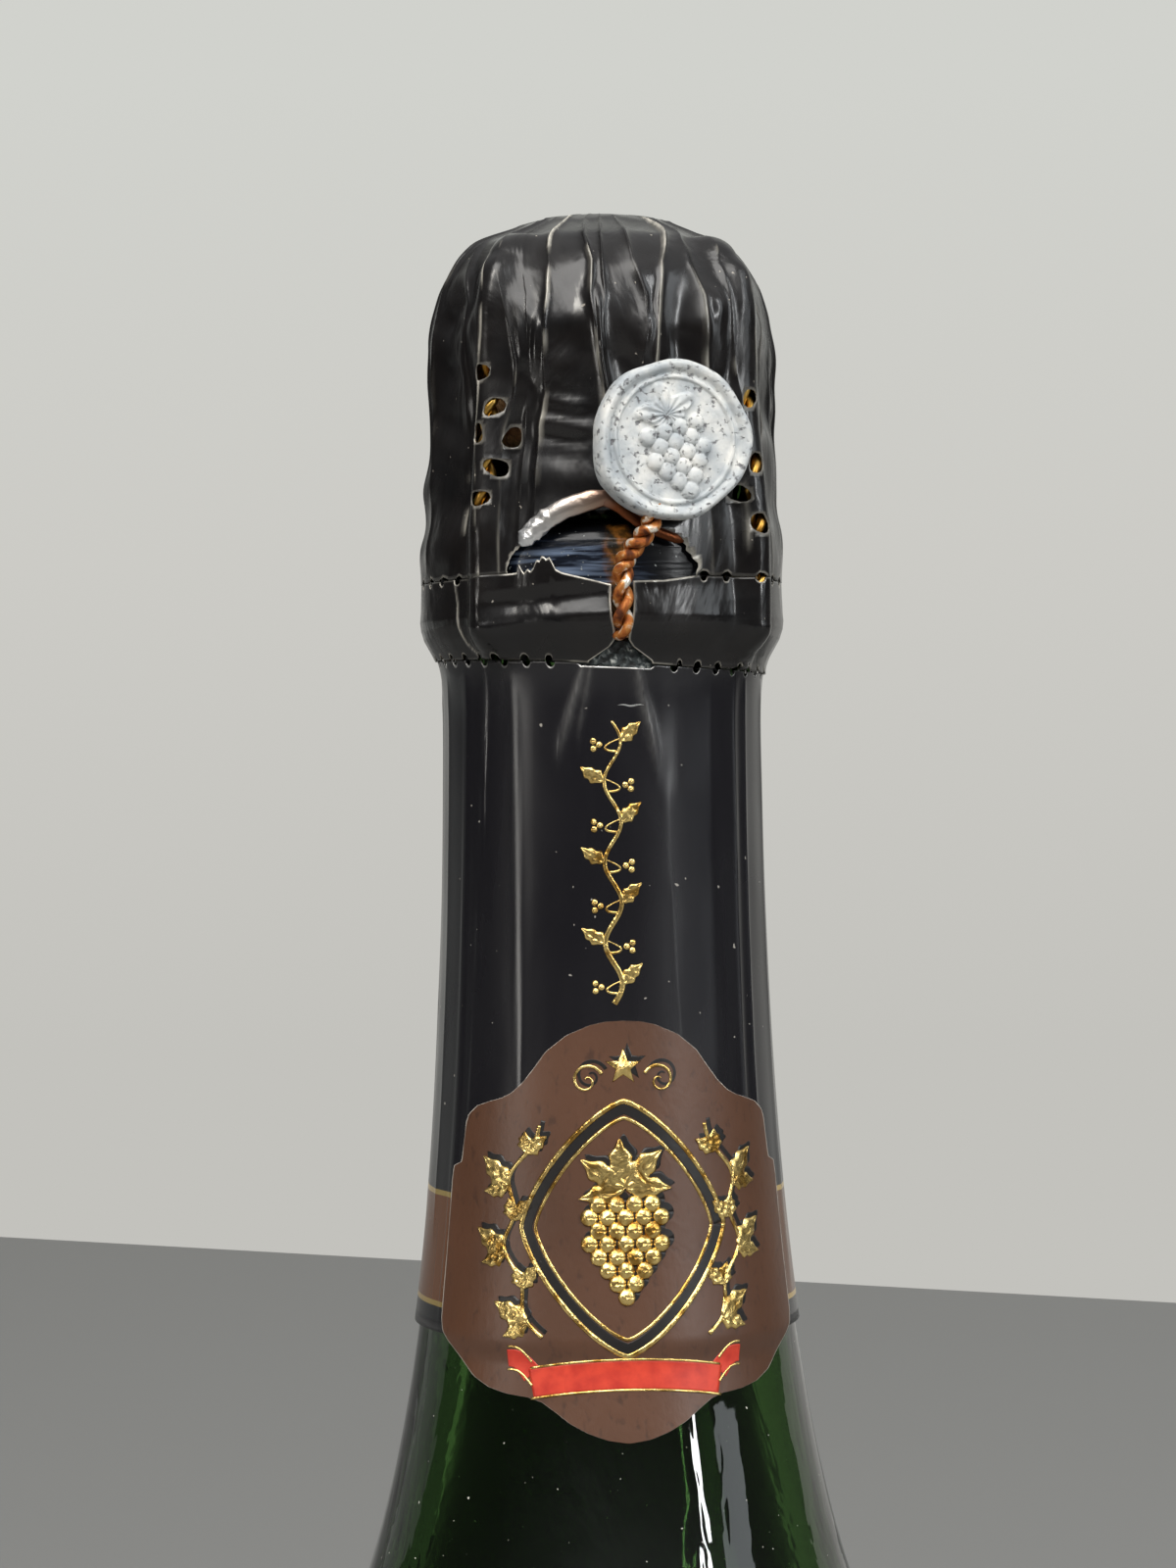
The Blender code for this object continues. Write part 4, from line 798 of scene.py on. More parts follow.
def line_distance(azimuth_deg, height_mm, line):
    """Distance in mm, on the foil, from places to the nearest stretch of a line of places."""
    scale = np.radians(1) * 16.9
    places = np.stack((azimuth_deg * scale, height_mm), axis=-1)
    corners = np.array(line) * (scale, 1)
    gaps = []
    for start, end in zip(corners[:-1], corners[1:]):
        share = np.clip((places - start) @ (end - start) / np.sum((end - start) ** 2), 0, 1)
        gaps.append(np.linalg.norm(places - start - share[..., None] * (end - start), axis=-1))
    return np.min(gaps, axis=0)


slit_edge = np.array(((280.0, 11.9), (281.2, 10.6), (282.4, 3.8), (283.0, 2.2), (283.9, 2.4), (285.0, 3.2),
                      (286.5, 3.6), (288.0, 3.4)))
band_line = np.array((
    (15.30, 280.9), (15.62, 281.8), (16.12, 282.7), (16.62, 283.6), (16.90, 284.5), (16.98, 285.3),
    (16.90, 286.3), (16.86, 287.4), (16.84, 288.6), (16.84, 290.4),
)) / 1000
high_holes = np.arange(33.0, 318.0, 8.9)
columns = foil_columns(200, np.append(low_holes, high_holes), 1.6, np.arange(301.5, 312.5, 0.5),
                       np.arange(49.0, 58.5, 0.5), np.arange(326.0, 341.5, 0.4))
columns = np.mod(columns - slit_deg, 360)
columns = columns[(columns > 12.2) & (columns < 347.8)]
beside_slit = (np.linspace(12.0, slit_half_deg, 14), np.linspace(348.0, 355.7, 14))
columns = np.sort(np.concatenate((columns, *beside_slit)))
azimuths = columns + slit_deg
share = np.linspace(0, 1, 40)[:, None]
low = tear_height(azimuths) + 0.00003 + bites(azimuths, low_holes, 1.6, 0.00052)
high = upper_tear(azimuths) - bites(azimuths, high_holes, 1.5, 0.00045)
heights = low + (high - low) * share
half = np.interp(heights * 1000, slit_edge[:, 0], slit_edge[:, 1])
near = np.minimum(columns, 360 - columns)[None, :]
pull = np.clip((24 - near) / (24 - slit_half_deg), 0, None)
offset = np.where(columns < 180, 1, -1) * (half - slit_half_deg) * pull
azimuth_grid = columns[None, :] + offset + slit_deg
base = np.interp(heights, band_line[:, 1], band_line[:, 0])
even = np.linspace(0.2802, 0.2903, 60)
lifts = ridge_lift(np.stack((np.interp(even, band_line[:, 1], band_line[:, 0]), even), axis=1))
ridge = np.interp(heights, even, lifts) * ridge_shape(azimuth_grid, base)
side_deg = nearest_turn(azimuth_grid, 0)
tilted = heights * 1000 - 0.029 * (side_deg + 15)
facet = np.clip((tilted - 285.0) / 1.5, 0, 1) - smooth_step((tilted - 286.7) / 1.6)
facet_share = smooth_step((side_deg + 37) / 4) * smooth_step((3.4 - side_deg) / 2)
facet_share += 0.45 * smooth_step((side_deg - 10) / 8) * smooth_step((54 - side_deg) / 8)
torn_left = ((-53.0, 290.0), (-52.4, 288.6), (-50.6, 286.6), (-50.1, 284.4), (-48.4, 282.9), (-44.6, 281.9))
torn_right = ((56.0, 290.0), (57.0, 288.7), (61.0, 288.2), (58.0, 286.7), (61.0, 285.3), (57.5, 282.6))
left_gap = line_distance(side_deg, heights * 1000, torn_left)
right_gap = line_distance(side_deg, heights * 1000, torn_right)
crease = -0.00030 * facet * facet_share
crease = crease + 0.00010 * np.exp(-((np.minimum(left_gap, right_gap) / 0.16) ** 2))
soft = 0.00007 * wave_noise(azimuth_grid / 9, heights * 700, 21)
lips = 0.00012 * np.exp(-np.abs(np.abs(nearest_turn(azimuth_grid, slit_deg)) - half) / 1.0)
grid = around(np.radians(azimuth_grid), base + ridge + crease + soft + lips, heights)
black_foil, tree, shader = new_finish("glossy_black_foil", tone(17, 15, 15), 0.18)
# Stored wear turns the foil pale and half metallic; on the hood's crests it is partly a painted highlight.
worn = worn_share(tree, (0.30, 0.35), (0.55, 1.0))
lacquer_black = ramp(tree, grain(tree, 210, 4.0), (0.3, tone(11, 10, 11)), (0.7, tone(20, 17, 16)))
dust = ramp(tree, grain(tree, 1700, 1.0), (0.785, 0.0), (0.800, 1.0))
dusty = mixed(tree, dust, lacquer_black, tone(140, 134, 124))
uneven = ramp(tree, grain(tree, 260, 3.0), (0.35, 0.16), (0.65, 0.30))
fed(shader, {"Base Color": mixed(tree, worn, dusty, tone(236, 230, 216)), "Roughness": uneven,
             "Metallic": combined(tree, "MULTIPLY", worn, 0.5), "Specular IOR Level": 0.5})
relief(tree, shader, grain(tree, 170, 4.0, (1, 1, 0.45), 0.8), 0.45, 0.0007)
band = piece("tear_band_foil", grid, quads(*heights.shape, False), [black_foil, bare], "bottle", "tear_band")
in_mouth = smooth_step((32 - np.abs(nearest_turn(azimuths, 0))) / 3)
left_of_mouth = smooth_step(nearest_turn(azimuths, -29) / 2)
left_of_mouth = left_of_mouth * smooth_step((-20 - nearest_turn(azimuths, 0)) / 3)
upper = 0.08 + 0.4 * bites(azimuths, high_holes, 1.5, 1.0) + 0.7 * np.maximum(in_mouth, left_of_mouth)
lower = 0.10 + 0.5 * bites(azimuths, low_holes, 1.6, 1.0) + 0.5 * smooth_step((16 - near[0]) / 4)
edge_wear = upper * (share > 0.999) + lower * (share < 0.001) + 0.7 * (near < slit_half_deg + 0.1)
on_ridge = np.exp(-((nearest_turn(azimuth_grid, 61.5) / 0.9) ** 2)) * smooth_step((heights - 0.2835) / 0.001)
torn_wear = 0.45 * np.exp(-((left_gap / 0.11) ** 2)) + 0.9 * np.exp(-((right_gap / 0.12) ** 2))
with_wear(band, np.clip(edge_wear + on_ridge * 0.4 + torn_wear, 0, 1))
walled(band, 0.00014, 0)


# Foil hood. Thin black lacquered foil pressed down over the cork and the cage in upright
# pleats. It has vent holes over the legs, a torn mouth at the front, and pale crests: worn
# silver in places, and elsewhere a painted highlight.

hood_corners = np.array((
    (16.84, 288.6), (16.92, 290.4), (16.85, 292.6), (16.55, 294.8), (16.50, 297.5), (16.32, 300.5),
    (16.28, 304.0), (16.35, 308.0), (16.28, 311.4), (15.72, 314.2), (14.75, 316.5), (13.45, 318.5),
    (11.90, 320.1), (10.20, 320.8), (8.60, 321.45), (6.60, 322.4), (4.60, 322.85), (0.15, 322.90),
)) / 1000
hood_line = smoothed(resampled(rounded(hood_corners, 0.0005, 4), 114), 7)
hood_run = np.append(0, np.cumsum(np.linalg.norm(np.diff(hood_line, axis=0), axis=1)))
hood_normal = rightwards(hood_line)
hood_ridge = ridge_lift(hood_line)

# Crests: azimuths at eleven heights, from the rim up, then how high, how wide, and how pale
# the lower and upper lengths are: partly wear to bare foil, partly a painted highlight.
stations = np.array((290.0, 294.0, 298.0, 302.0, 305.0, 308.0, 311.0, 314.0, 317.0, 319.5, 322.0)) / 1000
front_crests = [
    (-47, -47, -46.8, -46.5, -46.3, -49, -50.5, -49.5, -56, -60, -64, 0.36, 2.2, 0.4, 0.0),
    (-36, -37.2, -38.2, -40.5, -39.5, -39.5, -38.2, -37.7, -40, -43, -48, 0.34, 1.5, 0.3, 1.0),
    (-31.5, -31.5, -31.5, -31.2, -28.2, -27.3, -29.3, -32, -35.5, -38.5, -42, 0.44, 1.5, 0.15, 0.35),
    (-26, -26, -25.5, -25, -24, -23.8, -23.5, -24.5, -28, -31, -35, 0.20, 1.6, 0.0, 0.0),
    (-21, -21, -20.6, -20, -18, -18, -18, -17.4, -18.2, -20.8, -22, 0.50, 1.5, 0.1, 0.35),
    (3, 3, 2.6, 2, 1.2, -0.4, -1.2, -2.8, -2.6, -6, -9, 0.50, 1.3, 0.1, 0.30),
    (8, 7, 6.4, 5, 3.8, 2.2, 1.0, 1.6, 0.9, 0.5, 0.5, 0.36, 1.0, 0.0, 0.0),
    (12.5, 13, 13, 13.2, 13.4, 13.9, 15.4, 15.4, 12, 11.2, 11, 0.46, 1.6, 0.0, 0.25),
    (19, 18.5, 18, 18, 18, 17.9, 18.8, 20.2, 22.5, 28, 35, 0.42, 1.2, 0.1, 0.40),
    (36, 36, 36.5, 37, 37.5, 36.2, 36, 36.2, 34, 36, 44, 0.44, 1.8, 0.1, 0.30),
    (48, 48, 48, 48, 48.5, 47, 46.5, 46.5, 46, 50, 58, 0.36, 1.5, 0.25, 0.30),
    (62, 61, 60, 58.5, 57, 55.5, 54.5, 53.5, 53, 57, 64, 0.34, 1.3, 0.6, 0.35),
]
draws = np.random.default_rng(8)
back_places = np.linspace(70.0, 288.0, 23) + draws.uniform(-1.8, 1.8, 23)
back_turns = np.cumsum(draws.uniform(-1.4, 1.4, (23, 11)), axis=1) * 0.8
back_crests = np.column_stack((
    back_places[:, None] + np.clip(back_turns, -2.4, 2.4), draws.uniform(0.28, 0.55, 23),
    draws.uniform(1.2, 2.4, 23), draws.uniform(0, 0.5, 23) ** 2, draws.uniform(0, 0.6, 23) ** 2,
))
crests = np.vstack((np.array(front_crests), back_crests))
crest_az = np.stack([np.interp(hood_line[:, 1], stations, row[:11]) for row in crests], axis=1)
closed_az = np.column_stack((crest_az, crest_az[:, 0] + 360))
gap = np.diff(closed_az, axis=1)[..., None]
t = np.array((0, 0.03, 0.08, 0.16, 0.27, 0.40, 0.53, 0.66, 0.78, 0.88, 0.95))[None, None, :]
hood_az = (closed_az[:, :-1, None] + gap * t).reshape(len(hood_line), -1)
width = crests[:, 12]
heights = hood_line[:, 1:]
fade = smooth_step((heights - 0.2890) / 0.004) * (0.35 + 0.65 * smooth_step((heights - 0.296) / 0.012))
fade = fade * (0.1 + 0.9 * smooth_step((hood_line[:, :1] - 0.0050) / 0.006))
order = np.arange(len(crests))[None, :]
swell = 1 + 0.9 * wave_noise(order * 2.7, hood_run[:, None] * 300, 31)
crest_size = crests[:, 11] * 0.001 * fade * swell
next_size = np.column_stack((crest_size[:, 1:], crest_size[:, :1]))
rise = crest_size[..., None] * np.exp(-t * gap / width[None, :, None])
rise = rise + next_size[..., None] * np.exp(-(1 - t) * gap / np.append(width[1:], width[0])[None, :, None])
pillow = 0.00130 * wave_noise(order * 3.1, hood_run[:, None] * 260, 17)
lean = 0.5 + 0.8 * wave_noise(order * 4.3, hood_run[:, None] * 180, 19)[..., None]
bulge = np.sin(np.pi * t ** np.exp(np.clip(lean - 0.5, -0.5, 0.5)))
low_fade = fade * (1 - 0.85 * smooth_step((heights - 0.3125) / 0.004))
on_side = smooth_step((0.3170 - heights) / 0.003) * smooth_step((heights - 0.2935) / 0.003)
lift = rise + pillow[..., None] * bulge**2 * low_fade[..., None]
lift = (lift - 0.00016 * fade[..., None] - 0.00026 * on_side[..., None]).reshape(len(hood_line), -1)
# Pale crest lines, broken into patches: partly worn bare foil, strongest on the second crest and the two top
# creases, and partly a painted highlight.
upper_share = smooth_step((heights - 0.2990) / 0.003)
worn = crests[:, 13] * (1 - upper_share)
worn = worn + crests[:, 14] * upper_share * smooth_step((0.3186 - heights) / 0.0006)
creased = np.isin(crests[:, 4], (-18, 18))[None, :] * smooth_step((heights - 0.3180) / 0.0006)
worn = np.maximum(worn, creased * smooth_step((0.3224 - heights) / 0.0004))
patchy = 0.25 + 3.0 * wave_noise(order * 5.3, hood_run[:, None] * 600, 41)
worn = np.clip(1.3 * worn * np.clip(patchy + 0.8 * (worn > 0.7), 0, 1), 0, 1)
wear = np.zeros(rise.shape)
wear[..., 0] = worn
wear[..., 1] = worn * 0.55
wear[..., -1] = np.column_stack((worn[:, 1:], worn[:, :1])) * 0.2
wear = wear.reshape(len(hood_line), -1)


def hood_place(azimuth_deg, run, lift):
    """Point of the hood at an azimuth and a run up its line in metres, lifted off that line."""
    azimuth_deg, run, lift = np.broadcast_arrays(azimuth_deg, run, lift)
    line_at = [np.interp(run, hood_run, values) for values in (*hood_line.T, *hood_normal.T, hood_ridge)]
    radius, height, out, rise, leg = line_at
    over_leg = ridge_shape(azimuth_deg, np.maximum(radius, 0.006), 0.0021) * (leg > 0)
    on_wall = smooth_step((run - 0.0040) / 0.006) * smooth_step((0.0300 - run) / 0.006)
    dents = 0.00085 * wave_noise(np.radians(azimuth_deg) * 4.6, run * 420, 51) * on_wall
    across = nearest_turn(azimuth_deg, -12)
    wrinkle = np.exp(-((across / 8.5) ** 4) - ((run - 0.0140) / 0.0026) ** 4)
    dents = dents + 0.00013 * wrinkle * np.sin(run * 2900 + 0.9 * np.sin(across / 4))
    left_side = np.exp(-((nearest_turn(azimuth_deg, -88) / 24) ** 2))
    waves = 0.0003 * np.exp(-(((height - 0.2974) / 0.0017) ** 2))
    waves -= 0.0004 * np.exp(-(((height - 0.3030) / 0.0028) ** 2))
    waves -= 0.0003 * np.exp(-(((height - 0.2938) / 0.0014) ** 2))
    top_crease = np.exp(-np.abs(run - 0.0377 - 0.0005 * np.sin(azimuth_deg / 7)) / 0.0004)
    dents = dents * (1 - 0.6 * left_side) + waves * left_side + 0.00010 * top_crease
    stand = np.maximum((lift + dents) * (1 - 0.85 * over_leg), -0.0006 - 0.0005 * on_wall)
    stand = stand + leg * ridge_shape(azimuth_deg, np.maximum(radius, 0.006))
    return around(np.radians(azimuth_deg), radius + out * stand, height + rise * stand)


# The hood's side is laid out flat at this radius in mm.
side_mm = 16.6


def opened(azimuths, runs, middle_deg, middle_run, outline_angles, outline_reach, kept):
    """Cuts an opening in a grid: drops the faces inside an outline and draws the edge to it."""
    scale = np.radians(1) * (side_mm / 1000)
    u = nearest_turn(azimuths, middle_deg) * scale
    v = runs - middle_run
    angle, reach = np.arctan2(v, u), np.hypot(u, v)
    limit = np.interp(angle, outline_angles, outline_reach, period=2 * np.pi)
    following = np.roll(np.arange(azimuths.shape[1]), -1)
    inside = (reach < limit).astype(float)
    corners = inside[:-1] + inside[1:] + inside[:-1][:, following] + inside[1:][:, following]
    gone = (corners >= 2.5) & kept
    kept &= ~gone
    touched = np.zeros(azimuths.shape, bool)
    still = np.zeros(azimuths.shape, bool)
    for mask, faces in ((touched, gone), (still, kept)):
        mask[:-1] |= faces
        mask[1:] |= faces
        mask[:-1][:, following] |= faces
        mask[1:][:, following] |= faces
    edge = touched & still & (reach < 3 * limit)
    share = np.where(edge, limit / np.maximum(reach, 1e-6), 1)
    azimuths += np.where(edge, u * (share - 1) / scale, 0)
    runs += np.where(edge, v * (share - 1), 0)
    return edge


def run_at(height):
    """Run up the hood's line at a height on its side wall."""
    return np.interp(height, hood_line[:60, 1], hood_run[:60])


rim = upper_tear(hood_az[0]) + 0.00008 + bites(np.mod(hood_az[0], 360), high_holes, 1.5, 0.00045)
runs = hood_run[:, None] + (run_at(rim) - hood_run[0])[None, :] * np.exp(-hood_run[:, None] / 0.0012)
kept = np.ones((len(hood_line) - 1, hood_az.shape[1]), bool)
mouth = np.array((
    (-29.3, 285.0), (-29.0, 290.2), (-26.3, 291.4), (-20.7, 292.4), (-16.1, 293.5), (-4.1, 295.1),
    (3.3, 295.4), (8.3, 294.9), (13.6, 293.7), (20.0, 292.6), (25.2, 292.0), (26.8, 291.1), (30.2, 289.9),
    (30.4, 285.0), (0.0, 283.0), (-29.3, 285.0),
))
loop = np.linspace(0, 15, 600, endpoint=False)
loop_u = np.interp(loop, np.arange(16), np.radians(mouth[:, 0]) * side_mm)
loop_v = np.interp(loop, np.arange(16), mouth[:, 1] - 290.6)
loop_reach = np.hypot(loop_u, loop_v) * (1 + 0.012 * np.sin(loop * 9) + 0.01 * np.sin(loop * 23 + 1)) / 1000
torn = opened(hood_az, runs, 0.0, run_at(0.2906), np.arctan2(loop_v, loop_u), loop_reach, kept)
vents = [(-38.3, 307.2), (-33.7, 304.0), (-28.8, 301.2), (-39.0, 301.7), (-32.4, 298.5), (-36.6, 295.7),
         (51.4, 305.0), (51.6, 299.0), (51.0, 293.4), (46.0, 296.3), (64.0, 296.7)]
vents += [(leg_deg + side, height) for leg_deg in legs_deg[1:3] for side, height in
          ((0.0, 307.0), (0.0, 301.3), (0.0, 295.6), (6.7, 303.9), (6.7, 298.2))]
ring_angles = np.linspace(-np.pi, np.pi, 36)
vent_edges = np.zeros(hood_az.shape, bool)
for hole, (middle_deg, height) in enumerate(vents):
    reach = 1 + 0.16 * np.cos(2 * ring_angles - hole * 1.3) + 0.07 * np.cos(3 * ring_angles + hole)
    middle_run = run_at(height / 1000)
    vent_edges |= opened(hood_az, runs, middle_deg, middle_run, ring_angles, 0.00084 * reach, kept)
grid = hood_place(hood_az, runs, lift + vent_edges * 0.00012)
points = np.vstack((grid.reshape(-1, 3), grid[-1].mean(axis=0)))
count = hood_az.shape[1]
faces = quads(*hood_az.shape, True)[kept.ravel()]
steps = np.arange(count)
top_row = len(points) - 1 - count
fan = np.stack((top_row + steps, top_row + (steps + 1) % count, np.full(count, len(points) - 1)), axis=1)
used = np.unique(np.concatenate((faces.ravel(), fan.ravel())))
new_place = np.zeros(len(points), int)
new_place[used] = np.arange(len(used))
hood_faces = new_place[faces].tolist() + new_place[fan].tolist()
hood = piece("hood_foil", points[used], hood_faces, [black_foil, bare], "hood", "foil_hood")
wear[0] += 0.08 + 0.4 * bites(np.mod(hood_az[0], 360), high_holes, 1.5, 1.0)
wear = np.append(np.clip(wear + vent_edges * 0.22 + torn * 0.75, 0, 1).ravel(), 0.0)
with_wear(hood, wear[used])
walled(hood, 0.00013, 0)


# Curled strip. The foil torn out of the mouth is rolled up along its upper edge: crumpled
# silver at the left, and a tighter roll stained brown by rust at the right.

curl_places = np.array((
    (-25.0, 291.5), (-21.4, 292.6), (-15.6, 293.9), (-10.6, 294.7), (-4.0, 295.3), (1.0, 295.5),
    (5.9, 294.6), (11.4, 293.3), (17.1, 292.5), (25.0, 291.7),
))
curl_path = resampled(np.column_stack((np.radians(curl_places[:, 0]) * side_mm, curl_places[:, 1])), 130)
t = np.linspace(0, 1, len(curl_path))[:, None]
angles = full_turn(28)[None, :]
coarse = wave_noise(t * 26, np.cos(angles) * 2.0, 61)
crumple = 1 + (0.10 + 0.22 * smooth_step((0.22 - t) / 0.06)) * coarse
crumple = crumple + 0.3 * smooth_step((0.25 - t) / 0.06) * wave_noise(t * 110, angles * 3, 63)
ends = np.clip(np.minimum(t, 1 - t) * 22, 0.08, 1) ** 0.5
half_wide = np.interp(t, (0, 0.15, 0.45, 0.58, 1), (0.85, 0.98, 0.92, 0.60, 0.42)) * ends
half_thick = np.interp(t, (0, 0.3, 0.5, 0.6, 1), (0.36, 0.40, 0.34, 0.26, 0.24)) * ends
beside = half_wide * np.cos(angles) * crumple
stand = 0.36 + half_thick * np.sin(angles) * crumple
places = curl_path[:, None] - rightwards(curl_path)[:, None] * beside[..., None]
grid = hood_place(np.degrees(places[..., 0] / side_mm), run_at(places[..., 1] / 1000), stand / 1000)
crumpled, tree, shader = new_finish("crumpled_foil_edge", tone(206, 208, 208), 0.30, 1.0)
colours = ramp(tree, stored_wear(tree), (0.0, tone(240, 242, 244)), (0.20, tone(214, 210, 206)),
               (0.42, tone(176, 154, 138)), (0.60, tone(118, 68, 42)), (1.0, tone(80, 44, 26)))
fed(shader, {"Base Color": colours})
relief(tree, shader, grain(tree, 700, 4.0, (1, 1, 1), 0.5), 0.4, 0.0003)
curl = piece("hood_curled_strip", *closed_turn(grid[:, ::-1]), [crumpled], "hood")
with_wear(curl, np.append(np.repeat(t, 28), (0.0, 1.0)))


# Glue on the glass. Where the foil is torn away, a dull film of glue covers the collar, stained
# by the rusty tail, and dried grains of it lie on the neck below the slit. The film's colour
# holds a painted reflection, blue-grey with pale level streaks, and painted shade at its top
# and on its right side.

film_corners = np.array((
    (16.27, 285.4), (16.27, 291.3), (16.17, 292.0), (15.90, 292.66), (15.45, 293.12), (14.90, 293.40),
    (13.50, 293.54),
)) / 1000
film_line = resampled(film_corners, 60)
azimuths = np.linspace(-33, 33, 130)[None, :]
film_radius = film_line[:, :1] + 0.000015 * wave_noise(azimuths * 0.5, film_line[:, 1:] * 4000, 81)
grid = around(np.radians(azimuths), film_radius, film_line[:, 1:])
glue, tree, shader = new_finish("glue_film_painted_light", tone(44, 50, 62), 0.22)
reflection_streaks = grain(tree, 330, 6.0, (0.25, 0.25, 3.2), 0.6)
# Painted reflection: dark blue-grey with pale level streaks.
film_painted_light = ramp(tree, reflection_streaks, (0.40, tone(6, 8, 12)), (0.54, tone(18, 23, 34)),
                   (0.68, tone(104, 118, 140)))
# Painted shade: the film turns near black over its rounded top and on its right side.
for axis, start, end in (("Z", 0.2919, 0.2926), ("X", 0.0030, 0.0052)):
    film_painted_light = mixed(tree, way_along(tree, axis, start, end), film_painted_light, tone(14, 15, 18))
rust_colour = ramp(tree, grain(tree, 1200, 5.0), (0.36, tone(36, 30, 16)), (0.52, tone(96, 64, 24)),
                   (0.68, tone(168, 104, 40)))
dust = ramp(tree, grain(tree, 1900, 2.0), (0.70, 0.0), (0.73, 1.0))
stained = mixed(tree, stored_wear(tree), film_painted_light, rust_colour)
dusty = mixed(tree, dust, stained, tone(150, 154, 152))
fed(shader, {"Base Color": dusty, "Specular IOR Level": 0.32})
relief(tree, shader, reflection_streaks, 0.25, 0.0003)
film = piece("collar_glue_film_painted_light", grid, quads(*film_radius.shape, False), [glue, glue], "bottle")
stain_edge = 4.2 + 1.6 * wave_noise(azimuths * 0.3, film_line[:, 1:] * 1500, 83)
with_wear(film, 0.85 * smooth_step((stain_edge + 1.5 - np.abs(azimuths - 5.5)) / 4.5))
walled(film, 0.00003)

heights = np.linspace(0.2796, 0.28295, 46)[:, None]
azimuths = np.linspace(-9, 20, 150)[None, :]
under_sleeve = sleeve_radius(azimuths, np.minimum(heights, 0.2809)) - 0.00032
lumps = 0.00013 * wave_noise(azimuths * 1.1, heights * 4200, 91, 4)
grid = around(np.radians(azimuths), under_sleeve + lumps * smooth_step((heights - 0.2800) / 0.0004), heights)
grains, tree, shader = new_finish("dried_glue_grains", tone(40, 46, 47), 0.36)
sandy = grain(tree, 1500, 5.0, (1, 1, 1), 0.6)
colours = ramp(tree, sandy, (0.40, tone(18, 22, 22)), (0.54, tone(50, 58, 59)), (0.62, tone(118, 124, 122)),
               (0.70, tone(206, 206, 200)))
fed(shader, {"Base Color": colours})
relief(tree, shader, sandy, 0.9, 0.0005)
neck_glue = piece("neck_glue_grains", grid, quads(*lumps.shape, False), [grains, grains], "bottle")
walled(neck_glue, 0.00005)


# Neck label. Satin brown paper glued over the sleeve's lower end and the glass below it. Its
# outline is a curved shield, and the white core of the paper shows along the cut edge.

def label_radius(azimuth_deg, height):
    """Outer radius of the label: over the sleeve, and down on the glass below its end."""
    on_sleeve = smooth_step((height - 0.2183) / 0.0028)
    soft = 0.00003 * wave_noise(azimuth_deg / 11, height * 160, 71)
    return neck_radius(height) + 0.00024 + 0.00050 * on_sleeve + soft


label_deg = 5.5
label_outline = np.array((
    (0.000, 0.004), (0.002, 0.090), (0.010, 0.170), (0.035, 0.295), (0.075, 0.405), (0.110, 0.460),
    (0.150, 0.530), (0.176, 0.595), (0.190, 0.660), (0.199, 0.730), (0.212, 0.820), (0.235, 0.885),
    (0.255, 0.903), (0.352, 0.925), (0.364, 0.990), (0.400, 1.000), (0.660, 1.000), (0.735, 0.995),
    (0.765, 0.975), (0.788, 0.930), (0.823, 0.845), (0.860, 0.755), (0.882, 0.660), (0.893, 0.560),
    (0.898, 0.450), (0.908, 0.385), (0.932, 0.315), (0.955, 0.255), (0.977, 0.175), (0.993, 0.090),
    (1.000, 0.004),
))
down, half = (resampled(label_outline * (37.0, 21.0), 190)[::-1] / (37.0, 21.0)).T[..., None]
across = np.concatenate(((-1, -0.992), np.linspace(-0.975, 0.975, 99), (0.992, 1)))[None, :]
heights = 0.2491 - 0.0370 * down
azimuth_grid = label_deg + 62.6 * half * across
grid = around(np.radians(azimuth_grid), label_radius(azimuth_grid, heights), heights)
paper, tree, shader = new_finish("satin_brown_paper", tone(96, 62, 40), 0.40)
fibres = grain(tree, 1300, 5.0, (1, 1, 0.6), 0.3)
cloud = ramp(tree, grain(tree, 90, 3.0), (0.3, tone(74, 44, 24)), (0.7, tone(86, 53, 32)))
brown = mixed(tree, ramp(tree, fibres, (0.30, 0.0), (0.42, 1.0)), tone(66, 38, 20), cloud)
worn = worn_share(tree, (0.36, 0.35), (0.50, 1.0))
fed(shader, {"Base Color": mixed(tree, worn, brown, tone(232, 226, 214)), "Specular IOR Level": 0.75})
relief(tree, shader, fibres, 0.22, 0.00015)
core, tree, shader = new_finish("white_paper_core", tone(226, 220, 208), 0.8)
relief(tree, shader, grain(tree, 2000, 3.0), 0.3, 0.0001)
faces = quads(*azimuth_grid.shape, False)
label = piece("label_paper", grid, faces, [paper, core], "bottle", "neck_label")
with_wear(label, (np.abs(across) > 0.999) * np.ones_like(down))
walled(label, 0.00018)


# Print on the label. A lozenge of two gold lines frames a bunch of grapes, vines climb its
# sides, and a red ribbon lies below. Gold is stamped and raised; its black shadow is flat ink.

def shifted(grids, u, v):
    """Flat copies of grids, moved on the label, as the ink shadow under the gold."""
    copies = [grid.copy() for grid in grids]
    for copy in copies:
        copy += np.array((u, v, 0))
        copy[..., 2] = 0.012
    return copies


def lozenge(wide, high):
    """Closed curve between a diamond and an ellipse, from its half width and half height."""
    t = np.linspace(0, 2 * np.pi, 241)
    reach = (np.abs(np.cos(t)) ** 1.35 + np.abs(np.sin(t)) ** 1.35) ** (-1 / 1.35)
    return np.stack((wide * np.cos(t) * reach, high * np.sin(t) * reach), axis=1)


